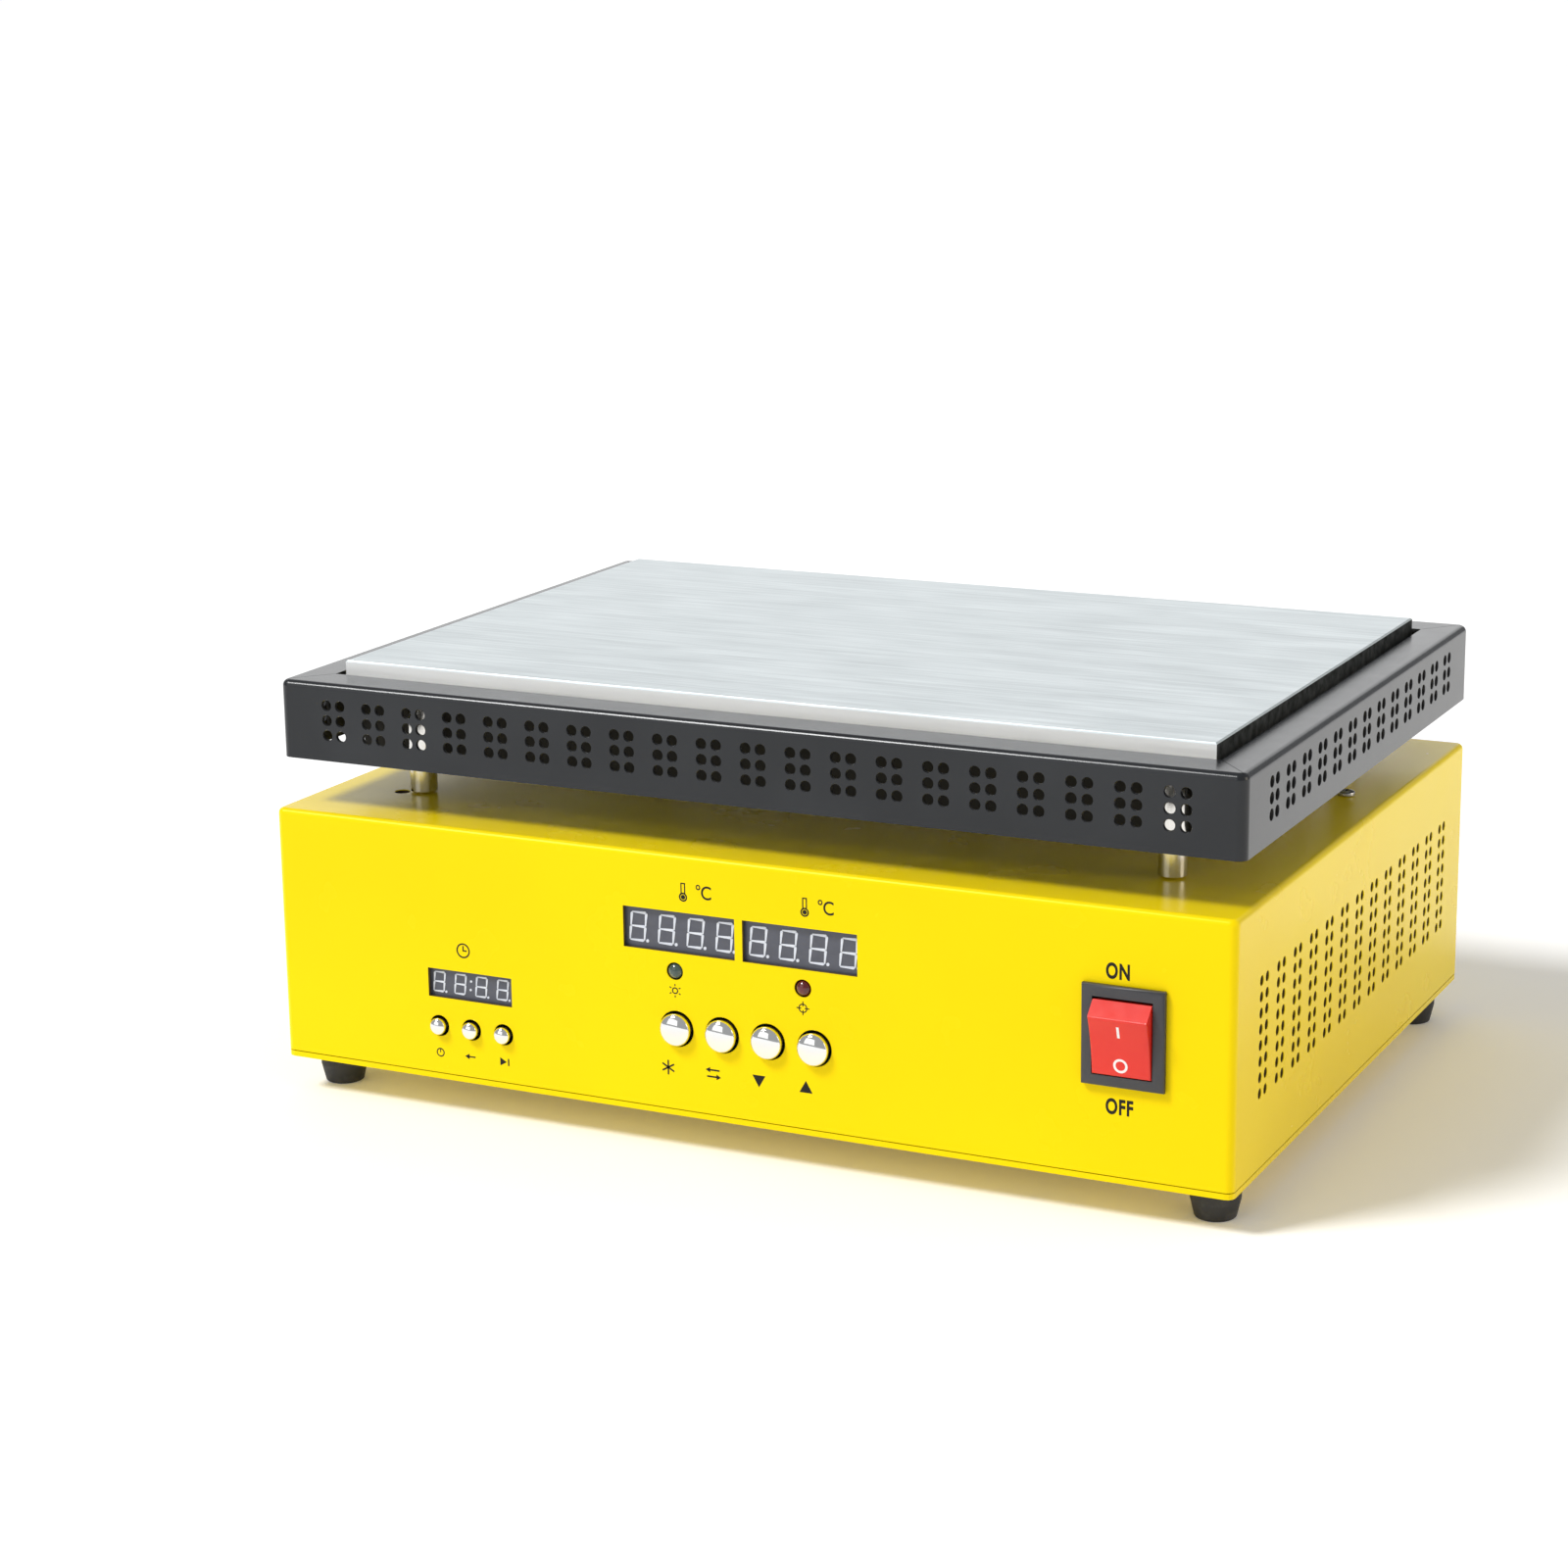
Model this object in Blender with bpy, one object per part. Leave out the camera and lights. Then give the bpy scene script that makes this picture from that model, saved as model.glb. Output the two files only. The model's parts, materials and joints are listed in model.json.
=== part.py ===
# Heating platform with a digital temperature and timer controller.
# Metres, +Z up. The front panel faces -Y. The origin is on the surface it stands on,
# under the middle of its footprint.

import math

import bmesh
import bpy
from mathutils import Matrix, Vector

for old in list(bpy.data.objects):
    bpy.data.objects.remove(old, do_unlink=True)

MM = 0.001
GAP = 0.3 * MM                        # air between pieces that touch
SAME_PLACE = 0.01 * MM                # between points that count as level

# Hot plate and its guard
PLATE_WIDTH = 300 * MM
PLATE_DEPTH = 200 * MM
PLATE_THICKNESS = 12 * MM
PLATE_CHAMFER = 0.5 * MM
PLATE_RISE = 46 * MM                  # from the housing's top to the plate's top
PLATE_SETBACK = 22.5 * MM             # from the front panel to the plate's front edge
GUARD_MARGIN_X = 15 * MM              # guard past the plate, each side
GUARD_MARGIN_Y = 17 * MM
GUARD_WIDTH = PLATE_WIDTH + 2 * GUARD_MARGIN_X
GUARD_DEPTH = PLATE_DEPTH + 2 * GUARD_MARGIN_Y
GUARD_HEIGHT = 25.8 * MM
GUARD_DROP = 4.2 * MM                 # from the plate's top to the guard's top
GUARD_BEND = 2.2 * MM
GUARD_CORNER = 3.2 * MM
GUARD_PLATE_GAP = 2.5 * MM
GUARD_HOLE = 3.5 * MM                 # square holes of the same area
GUARD_HOLE_DROP = 7.2 * MM            # from the guard's top to the upper row
GUARD_HOLE_MARGIN = 16 * MM           # least plain sheet at a wall's ends
HOLE_ROWS = 3
HOLE_PITCH = 5.1 * MM                 # between the two columns of a group
HOLE_ROW_PITCH = 5.0 * MM
HOLE_GROUP_PITCH = 15.2 * MM
RAIL_THICKNESS = 1.5 * MM
RAIL_WIDTH = 16 * MM
RAIL_TAB = 12 * MM
RAIL_LEG = 21 * MM                    # the front rail's screen, below its flat
RAIL_LEG_INSET = 5 * MM               # from the rail's ends

# Housing
HOUSING_WIDTH = GUARD_WIDTH
HOUSING_DEPTH = 240 * MM
HOUSING_HEIGHT = 85 * MM              # base plate and shell together
SHEET = 1.2 * MM
HOUSING_BEND = 2.0 * MM
HOUSING_CORNER = 2.6 * MM
BASE_THICKNESS = 1.8 * MM
SHELL_FLANGE = 14 * MM
FOOT_HEIGHT = 12 * MM
FOOT_RADIUS = 7.75 * MM
FOOT_SOLE_RADIUS = 5.75 * MM
FOOT_STRAIGHT = 5.5 * MM
FOOT_INSET_X = 11 * MM
FOOT_INSET_Y = 17 * MM

# Posts between the housing and the plate
POST_RADIUS = 4.5 * MM
POST_BORE = 2.8 * MM
POST_CHAMFER = 0.4 * MM
POST_INSET_X = 18.5 * MM              # from the plate's edges
POST_INSET_Y = 15.5 * MM
POST_SCREW_RADIUS = 2.4 * MM
POST_SCREW_DEPTH = 7 * MM             # into the plate
SCREW_HEAD_HEIGHT = 2.4 * MM
SCREW_HEAD_RADIUS = 4.0 * MM
SPARE_HOLE_RADIUS = 2.5 * MM
SPARE_HOLE_OFFSET = 6.5 * MM

# Heaters and the temperature probe
CARTRIDGE_RADIUS = 4.0 * MM
CARTRIDGE_CHAMFER = 0.6 * MM
CARTRIDGE_FRONT = 29 * MM             # solid plate ahead of a cartridge
CARTRIDGE_STICK_OUT = 1 * MM
CARTRIDGE_PITCH = 90 * MM
PROBE_RADIUS = 2.0 * MM
PROBE_LENGTH = 60 * MM
PROBE_X = 40 * MM
PROBE_DROP = 2.4 * MM                 # below the plate's middle
PROBE_STICK_OUT = 5 * MM
LEAD_DIAMETER = 3.5 * MM
LEAD_DROP = 1.7 * MM                  # below the cartridge's middle
PROBE_CABLE_DIAMETER = 2.4 * MM
GROMMET_HOLE_RADIUS = 10 * MM
GROMMET_BORE_RADIUS = 6.6 * MM
GROMMET_LIP = 2.5 * MM
GROMMET_CHAMFER = 1 * MM
GROMMET_BACK = 58 * MM                # from the rear wall

# Front panel, measured from the middle of the panel and from the housing's underside
DISPLAY_WIDTH = 39 * MM
DISPLAY_HEIGHT = 13.3 * MM
DISPLAY_Z = 60.0 * MM
ACTUAL_DISPLAY_X = -16.4 * MM
SET_DISPLAY_X = 25.3 * MM
TIMER_DISPLAY_WIDTH = 31.2 * MM
TIMER_DISPLAY_HEIGHT = 9.6 * MM
TIMER_X = -93.0 * MM
TIMER_DISPLAY_Z = 32.6 * MM
DISPLAY_DEPTH = 8 * MM
DISPLAY_RECESS = 0.4 * MM             # from the sheet's inner face
DISPLAY_EDGE = 1.0 * MM               # module past the window, each way
LED_RADIUS = 2.5 * MM
LED_HOLE_RADIUS = 2.8 * MM
LED_FLANGE = 0.4 * MM
LED_FLANGE_HEIGHT = 1.0 * MM
LED_TIP = 1.0 * MM
STATUS_LED_X = -18.0 * MM
CALIBRATION_LED_X = 26.3 * MM
LED_Z = 47.3 * MM
BUTTON_X = 6.1 * MM
BUTTON_PITCH = 15.9 * MM
BUTTON_Z = 28.5 * MM
BUTTON_RADIUS = 5.25 * MM
BUTTON_CLEARANCE = 0.6 * MM
BUTTON_PROUD = 3.6 * MM
BUTTON_DOME = 2.3 * MM
BUTTON_TRAVEL = 0.8 * MM
TIMER_BUTTON_PITCH = 12 * MM
TIMER_BUTTON_Z = 18.1 * MM
TIMER_BUTTON_RADIUS = 2.8 * MM
TIMER_BUTTON_CLEARANCE = 0.7 * MM
TIMER_BUTTON_PROUD = 2.8 * MM
TIMER_BUTTON_DOME = 1.6 * MM
TACT_SIZE = 12 * MM
TACT_HEIGHT = 4.3 * MM
TACT_BORE_RADIUS = 3.4 * MM
TACT_BORE_SPARE = 0.8 * MM            # below a button that is pressed home
TACT_STEM_REACH = 1.0 * MM            # of a button's stem into its switch
BUTTON_SKIRT = 1.6 * MM               # of a button's cap behind the panel
TIMER_TACT_SIZE = 6 * MM
TIMER_TACT_BORE_RADIUS = 1.9 * MM
BOARD_THICKNESS = 1.6 * MM
CONTROL_BOARD_WIDTH = 104 * MM
CONTROL_BOARD_HEIGHT = 60 * MM
CONTROL_BOARD_Z = 44 * MM
TIMER_BOARD_WIDTH = 52 * MM
TIMER_BOARD_HEIGHT = 32 * MM
TIMER_BOARD_Z = 25.5 * MM
STUD_RADIUS = 2.6 * MM                # hexagonal, welded to the panel
STUD_PIN_RADIUS = 1.4 * MM
STUD_INSET = 4 * MM
STUD_NUT_RADIUS = 3.0 * MM
STUD_NUT_HEIGHT = 2.4 * MM
STUD_ROOT = 0.5 * MM                  # depth of a weld into the sheet

# Mains switch
SWITCH_INSET = 34 * MM                # from the housing's right side
SWITCH_Z = 45.9 * MM
BEZEL_WIDTH = 26 * MM
BEZEL_HEIGHT = 31 * MM
BEZEL_PROUD = 2.0 * MM
BEZEL_LIP = 0.6 * MM
BEZEL_BEVEL = 0.8 * MM
SWITCH_OPENING_WIDTH = 19 * MM
SWITCH_OPENING_HEIGHT = 24 * MM
SWITCH_BODY_WIDTH = 21.6 * MM
SWITCH_BODY_HEIGHT = 29.2 * MM
SWITCH_BODY_DEPTH = 24 * MM           # from the bezel's front
SWITCH_CAVITY_HEIGHT = 27.7 * MM
SWITCH_CAVITY_DEPTH = 13 * MM
ROCKER_PIVOT_DEPTH = 8 * MM           # behind the bezel's front
ROCKER_RADIUS = 14.3 * MM             # from the pivot to the two ridges
ROCKER_RIDGE_ANGLE = math.radians(41)
ROCKER_TILT = math.radians(12.5)      # each way from the middle
ROCKER_HOLLOW = 0.66 * MM             # of the curved face
ROCKER_SKIRT_Y = 5.4 * MM             # ahead of the pivot
ROCKER_SKIRT_Z = 12.6 * MM
ROCKER_SHOULDER = Vector((-1.0, 11.3)) * MM
ROCKER_BACK = Vector((3.0, 6.0)) * MM
ROCKER_EDGE = 0.5 * MM
ROCKER_TRUNNION_RADIUS = 1.5 * MM
TERMINAL_WIDTH = 6.3 * MM
TERMINAL_THICKNESS = 0.8 * MM
TERMINAL_LENGTH = 9 * MM
TERMINAL_X = 5 * MM                   # from the switch's middle
TERMINAL_Z = 8 * MM

# Power inlet in the rear wall
INLET_INSET = 65 * MM                 # from the housing's right side
INLET_Z = 38 * MM
INLET_FLANGE_WIDTH = 35 * MM
INLET_FLANGE_HEIGHT = 28 * MM
INLET_FLANGE = 2.6 * MM
INLET_FLANGE_CORNER = 3 * MM
INLET_CLIP_THICKNESS = 1.2 * MM
INLET_CLIP_LENGTH = 5 * MM
INLET_CLIP_WIDTH = 8 * MM
INLET_BODY_WIDTH = 28 * MM
INLET_BODY_HEIGHT = 20.4 * MM
INLET_BODY_DEPTH = 22 * MM
INLET_SOCKET_WIDTH = 24.4 * MM
INLET_SOCKET_HEIGHT = 16.8 * MM
INLET_SOCKET_DEPTH = 16 * MM
INLET_SOCKET_CHAMFER = 4.5 * MM
PIN_THICKNESS = 2 * MM
PIN_WIDTH = 4 * MM
PIN_PITCH = 7 * MM
PIN_OFFSET = 2 * MM
PIN_LENGTH = 14 * MM                  # inside the socket
PIN_TAIL = 7 * MM                     # behind the body

# Power board inside
POWER_BOARD_WIDTH = 124 * MM
POWER_BOARD_DEPTH = 84 * MM
POWER_BOARD_RISE = 8 * MM
SUPPORT_RADIUS = 3.4 * MM
POWER_BOARD_BACK = 26 * MM            # from the rear wall to the board's rear edge
TRANSFORMER_WIDTH = 42 * MM
TRANSFORMER_DEPTH = 30 * MM
TRANSFORMER_HEIGHT = 33 * MM
TRANSFORMER_X = -34 * MM
TRANSFORMER_Y = -18 * MM              # from the board's middle
WINDING_INSET = 7 * MM
WINDING_PROUD = 5 * MM
HEAT_SINK_WIDTH = 44 * MM
HEAT_SINK_DEPTH = 24 * MM
HEAT_SINK_HEIGHT = 38 * MM
HEAT_SINK_X = 34 * MM
HEAT_SINK_Y = -22 * MM
HEAT_SINK_FINS = 5
FIN_THICKNESS = 1.8 * MM
HEAT_SINK_BACK = 2.9 * MM
TRIAC_WIDTH = 10 * MM
TRIAC_DEPTH = 4.5 * MM
TRIAC_HEIGHT = 19 * MM
TERMINAL_BLOCK_WIDTH = 24 * MM
TERMINAL_BLOCK_DEPTH = 11 * MM
TERMINAL_BLOCK_HEIGHT = 13 * MM
MAINS_BLOCK_X = 44 * MM
PROBE_BLOCK_X = -44 * MM
MAINS_CABLE_DIAMETER = 4.6 * MM
CONTROL_CABLE_DIAMETER = 3.2 * MM

# Small hardware
BASE_SCREW_RADIUS = 1.4 * MM
BASE_SCREW_LENGTH = 6 * MM
BASE_SCREW_HEAD = 2.8 * MM
BASE_SCREW_HEAD_HEIGHT = 1.7 * MM
BASE_SCREW_INSET = 66 * MM            # from the housing's sides
FOOT_SCREW_RADIUS = 1.9 * MM
FOOT_SCREW_RECESS = 4.2 * MM
FOOT_SCREW_RECESS_DEPTH = 5 * MM
FOOT_SCREW_PAST = 2.5 * MM            # above the base plate
FOOT_SOLE_EDGE = 0.6 * MM
EARTH_SCREW_INSET = 15 * MM           # from the housing's right side
EARTH_SCREW_Y = 30 * MM               # behind the middle of the plate
EARTH_SCREW_RADIUS = 1.4 * MM
EARTH_HEAD_RADIUS = 2.6 * MM
EARTH_HEAD_HEIGHT = 1.7 * MM
EARTH_SCREW_LENGTH = 6 * MM

# Places that follow from the sizes
POST_X = PLATE_WIDTH / 2 - POST_INSET_X
POST_Y = PLATE_DEPTH / 2 - POST_INSET_Y
CARTRIDGE_LENGTH = PLATE_DEPTH - CARTRIDGE_FRONT + CARTRIDGE_STICK_OUT
SWITCH_X = HOUSING_WIDTH / 2 - SWITCH_INSET
INLET_X = HOUSING_WIDTH / 2 - INLET_INSET
EARTH_SCREW_X = HOUSING_WIDTH / 2 - EARTH_SCREW_INSET
BASE_SCREW_X = HOUSING_WIDTH / 2 - BASE_SCREW_INSET
TACT_BORE_DEPTH = TACT_STEM_REACH + BUTTON_TRAVEL + TACT_BORE_SPARE
TRANSFORMER_SIZE = Vector((TRANSFORMER_WIDTH, TRANSFORMER_DEPTH, TRANSFORMER_HEIGHT))
HEAT_SINK_SIZE = Vector((HEAT_SINK_WIDTH, HEAT_SINK_DEPTH, HEAT_SINK_HEIGHT))
TERMINAL_BLOCK_SIZE = Vector((TERMINAL_BLOCK_WIDTH, TERMINAL_BLOCK_DEPTH, TERMINAL_BLOCK_HEIGHT))
RIDGE_REACH = (ROCKER_RADIUS * math.cos(ROCKER_RIDGE_ANGLE - ROCKER_TILT)
               - ROCKER_PIVOT_DEPTH + BEZEL_PROUD + GAP)
INLET_REACH = GAP + INLET_FLANGE
OVERALL_DEPTH = RIDGE_REACH + HOUSING_DEPTH + INLET_REACH
FRONT = -OVERALL_DEPTH / 2 + RIDGE_REACH
REAR = FRONT + HOUSING_DEPTH
MIDDLE_Y = (FRONT + REAR) / 2
UNDERSIDE = FOOT_HEIGHT
BASE_TOP = UNDERSIDE + BASE_THICKNESS
SHELL_BOTTOM = BASE_TOP + GAP
HOUSING_TOP = UNDERSIDE + HOUSING_HEIGHT
CEILING = HOUSING_TOP - SHEET
PANEL_BACK = FRONT + SHEET
PLATE_TOP = HOUSING_TOP + PLATE_RISE
PLATE_BOTTOM = PLATE_TOP - PLATE_THICKNESS
PLATE_Y = FRONT + PLATE_SETBACK + PLATE_DEPTH / 2
PLATE_REAR = PLATE_Y + PLATE_DEPTH / 2
GUARD_TOP = PLATE_TOP - GUARD_DROP
GUARD_BOTTOM = GUARD_TOP - GUARD_HEIGHT
RAIL_TOP = PLATE_BOTTOM - GAP
RAIL_BOTTOM = RAIL_TOP - RAIL_THICKNESS
POST_TOP = RAIL_BOTTOM - GAP
POST_BOTTOM = HOUSING_TOP + GAP
GROMMET_Y = REAR - GROMMET_BACK
BOARD_FACE = PANEL_BACK + DISPLAY_RECESS + DISPLAY_DEPTH + GAP
POWER_BOARD_Y = REAR - POWER_BOARD_BACK - POWER_BOARD_DEPTH / 2
POWER_BOARD_BOTTOM = BASE_TOP + GAP + POWER_BOARD_RISE + GAP
POWER_BOARD_TOP = POWER_BOARD_BOTTOM + BOARD_THICKNESS
BEZEL_FRONT = FRONT - GAP - BEZEL_PROUD
ROCKER_PIVOT = Vector((SWITCH_X, BEZEL_FRONT + ROCKER_PIVOT_DEPTH, UNDERSIDE + SWITCH_Z))
HEATER_Z = (PLATE_TOP + PLATE_BOTTOM) / 2
PROBE_Z = HEATER_Z - PROBE_DROP

ALONG_X = Matrix.Rotation(math.radians(90), 4, "Y")
ALONG_Y = Matrix.Rotation(math.radians(-90), 4, "X")
FACING_FRONT = Matrix.Rotation(math.radians(90), 4, "X")


# Materials

def material(name, colour, roughness, metallic=0.0):
    finish = bpy.data.materials.new(name)
    finish.use_nodes = True
    shader = finish.node_tree.nodes["Principled BSDF"]
    shader.inputs["Base Color"].default_value = (*colour, 1)
    shader.inputs["Roughness"].default_value = roughness
    shader.inputs["Metallic"].default_value = metallic
    return finish


YELLOW = material("yellow_powder_coat", (0.93, 0.76, 0.01), 0.3)
CHARCOAL = material("charcoal_paint", (0.035, 0.037, 0.04), 0.4)
ALUMINIUM = material("milled_aluminium", (0.66, 0.69, 0.70), 0.35, 1.0)
STEEL = material("bright_steel", (0.62, 0.62, 0.60), 0.25, 1.0)
CHROME = material("chrome", (0.80, 0.80, 0.80), 0.08, 1.0)
RUBBER = material("black_rubber", (0.03, 0.03, 0.032), 0.8)
DARK_PLASTIC = material("dark_plastic", (0.045, 0.045, 0.05), 0.45)
RED_PLASTIC = material("red_plastic", (0.75, 0.03, 0.02), 0.3)
DISPLAY_FACE = material("display_face", (0.10, 0.11, 0.13), 0.4)
GREEN_LENS = material("green_lens", (0.05, 0.10, 0.07), 0.15)
RED_LENS = material("red_lens", (0.20, 0.01, 0.01), 0.15)
CIRCUIT_BOARD = material("circuit_board", (0.02, 0.16, 0.07), 0.5)
WINDING_TAPE = material("transformer_tape", (0.75, 0.45, 0.05), 0.5)
SLEEVE = material("glass_fibre_sleeve", (0.70, 0.68, 0.60), 0.9)
WIRE_COVER = material("wire_cover", (0.45, 0.03, 0.02), 0.5)


# Shapes

def add_box(mesh, low, high):
    low = Vector(low)
    high = Vector(high)
    size = high - low
    place = Matrix.Translation((low + high) / 2) @ Matrix.Diagonal((*size, 1))
    return bmesh.ops.create_cube(mesh, size=1, matrix=place)["verts"]


def add_prism(mesh, radius, low, high, turn, place, sides=24, start=0.0):
    length = high - low
    shift = Matrix.Translation((0, 0, (low + high) / 2)) @ Matrix.Rotation(start, 4, "Z")
    matrix = Matrix.Translation(place) @ turn @ shift
    bmesh.ops.create_cone(mesh, cap_ends=True, segments=sides, radius1=radius, radius2=radius,
                          depth=length, matrix=matrix)


def add_turned(mesh, profile, matrix, steps):
    """Spins a (radius, height) profile about local Z, from one end of the axis to the other."""
    points = [mesh.verts.new((radius, 0, height)) for radius, height in profile]
    lines = [mesh.edges.new(pair) for pair in zip(points, points[1:])]
    spun = bmesh.ops.spin(mesh, geom=points + lines, cent=(0, 0, 0), axis=(0, 0, 1),
                          angle=2 * math.pi, steps=steps, use_merge=True)
    new = set(points)
    for item in spun["geom_last"]:
        if isinstance(item, bmesh.types.BMVert):
            new.add(item)
    grown = list(new)
    while grown:
        vert = grown.pop()
        for edge in vert.link_edges:
            other = edge.other_vert(vert)
            if other not in new:
                new.add(other)
                grown.append(other)
    bmesh.ops.transform(mesh, matrix=matrix, verts=list(new))


def add_outline(mesh, outline, width, matrix):
    """Extrudes a flat outline, given in local XY, by width about its own plane."""
    points = [mesh.verts.new((x, y, -width / 2)) for x, y in outline]
    face = mesh.faces.new(points)
    grown = bmesh.ops.extrude_face_region(mesh, geom=[face])
    raised = [item for item in grown["geom"] if isinstance(item, bmesh.types.BMVert)]
    bmesh.ops.translate(mesh, vec=(0, 0, width), verts=raised)
    bmesh.ops.transform(mesh, matrix=matrix, verts=points + raised)


def finish_object(name, mesh, finish, origin=(0, 0, 0), smooth_angle=35):
    """Turns a bmesh drawn in world space into an object whose origin is at the given point."""
    bmesh.ops.remove_doubles(mesh, verts=mesh.verts, dist=SAME_PLACE / 10)
    bmesh.ops.recalc_face_normals(mesh, faces=mesh.faces)
    bmesh.ops.translate(mesh, vec=-Vector(origin), verts=mesh.verts)
    data = bpy.data.meshes.new(name)
    mesh.to_mesh(data)
    mesh.free()
    data.materials.append(finish)
    data.shade_smooth()
    data.set_sharp_from_angle(angle=math.radians(smooth_angle))
    thing = bpy.data.objects.new(name, data)
    thing.location = origin
    bpy.context.scene.collection.objects.link(thing)
    return thing


def combine(target, name, mesh, operation):
    """Joins a hidden helper object to the target with a live Boolean, and returns the helper."""
    helper = finish_object(f"{target.name}_{name}_helper", mesh, target.data.materials[0])
    helper.hide_render = True
    helper.display_type = "WIRE"
    step = target.modifiers.new(name, "BOOLEAN")
    step.operation = operation
    step.solver = "EXACT"
    step.object = helper
    return helper


def carve(target, name, mesh):
    return combine(target, name, mesh, "DIFFERENCE")


def unite(target, name, mesh):
    return combine(target, name, mesh, "UNION")


def bevel_edges(mesh, edges, radius, segments):
    bmesh.ops.bevel(mesh, geom=edges, offset=radius, offset_type="OFFSET", segments=segments,
                    profile=0.5, affect="EDGES", material=-1)


def upright_edges(mesh):
    return [edge for edge in mesh.edges
            if abs((edge.verts[0].co - edge.verts[1].co).normalized().z) > 0.99]


def edges_at_height(mesh, height):
    return [edge for edge in mesh.edges
            if all(abs(vert.co.z - height) < SAME_PLACE for vert in edge.verts)]


def turned_object(name, profile, place, finish, turn=Matrix.Identity(4), steps=24):
    mesh = bmesh.new()
    add_turned(mesh, profile, Matrix.Translation(place) @ turn, steps)
    return finish_object(name, mesh, finish, place)


def smooth_route(guides, steps):
    """Points along a smooth curve through the guides, with a short straight stretch at each end."""
    points = [guides[0] * 2 - guides[1]] + guides + [guides[-1] * 2 - guides[-2]]
    route = []
    for a, b, c, d in zip(points, points[1:], points[2:], points[3:]):
        for step in range(steps):
            t = step / steps
            route.append(0.5 * (2 * b + (c - a) * t + (2 * a - 5 * b + 4 * c - d) * t * t
                                + (3 * b - a - 3 * c + d) * t * t * t))
    first = guides[0].lerp(guides[1], 0.12)
    last = guides[-1].lerp(guides[-2], 0.12)
    return [guides[0], first] + route[1:] + [last, guides[-1]]


def cable(name, guides, diameter, steps, finish):
    """A tube with filled ends along a smooth route."""
    data = bpy.data.curves.new(name, "CURVE")
    data.dimensions = "3D"
    data.bevel_depth = diameter / 2
    data.bevel_resolution = 2
    data.use_fill_caps = True
    data.materials.append(finish)
    route = smooth_route([Vector(guide) for guide in guides], steps)
    line = data.splines.new("POLY")
    line.points.add(len(route) - 1)
    for point, place in zip(line.points, route):
        point.co = (*place, 1)
    thing = bpy.data.objects.new(name, data)
    bpy.context.scene.collection.objects.link(thing)
    return thing


def corners(half_x, half_y):
    return [(x, y) for y in (-half_y, half_y) for x in (-half_x, half_x)]


def screw_profile(radius, length, head_radius, head_height):
    """A pan head screw that points up local Z, with its head's underside at zero."""
    return [(0, -head_height), (head_radius * 0.75, -head_height),
            (head_radius, -head_height * 0.45), (head_radius, 0), (radius, 0),
            (radius, length), (0, length)]


# Sheet metal housing

CORNER_NAMES = ("front_left", "front_right", "rear_left", "rear_right")
BASE_SCREWS = [(x, MIDDLE_Y + y)
               for x, y in corners(BASE_SCREW_X, (HOUSING_DEPTH - SHELL_FLANGE) / 2)]
FEET = [(x, MIDDLE_Y + y) for x, y in corners(HOUSING_WIDTH / 2 - FOOT_INSET_X,
                                              HOUSING_DEPTH / 2 - FOOT_INSET_Y)]
POSTS = [(x, PLATE_Y + y) for x, y in corners(POST_X, POST_Y)]
BUTTONS = [BUTTON_X + (index - 1.5) * BUTTON_PITCH for index in range(4)]
TIMER_BUTTONS = [TIMER_X + (index - 1) * TIMER_BUTTON_PITCH for index in range(3)]
CONTROL_BOARD_X = (ACTUAL_DISPLAY_X + SET_DISPLAY_X) / 2
POWER_BOARD_HOLES = [(x, POWER_BOARD_Y + y) for x, y in corners(POWER_BOARD_WIDTH / 2 - STUD_INSET,
                                                                POWER_BOARD_DEPTH / 2 - STUD_INSET)]


def sheet_box(mesh, low, high, bend, top_bend):
    add_box(mesh, low, high)
    bevel_edges(mesh, upright_edges(mesh), bend, 3)
    if top_bend:
        bevel_edges(mesh, edges_at_height(mesh, high[2]), top_bend, 3)


def add_screw_holes(mesh, low, high):
    """Holes for the base screws and the foot screws, through the base plate or the flange."""
    for radius, places in ((BASE_SCREW_RADIUS, BASE_SCREWS), (FOOT_SCREW_RADIUS, FEET)):
        for x, y in places:
            add_prism(mesh, radius + GAP, low, high, Matrix.Identity(4), (x, y, 0), 12)


def hole_columns(wall_width):
    """Offsets of the columns of holes along a wall, in pairs that fill its width."""
    free = wall_width - 2 * GUARD_HOLE_MARGIN - HOLE_PITCH - GUARD_HOLE
    groups = int(free / HOLE_GROUP_PITCH) + 1
    first = -(groups - 1) / 2 * HOLE_GROUP_PITCH
    return [first + group * HOLE_GROUP_PITCH + side * HOLE_PITCH / 2
            for group in range(groups) for side in (-1, 1)]


def add_hole_rows(mesh, columns, reach, turn, place_of):
    """Square prisms that run through two facing walls of the guard."""
    radius = GUARD_HOLE * math.sqrt(math.pi / 8)
    for column in columns:
        for row in range(HOLE_ROWS):
            z = GUARD_TOP - GUARD_HOLE_DROP - row * HOLE_ROW_PITCH
            add_prism(mesh, radius, -reach, reach, turn, place_of(column, z), 4, math.radians(45))


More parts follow.
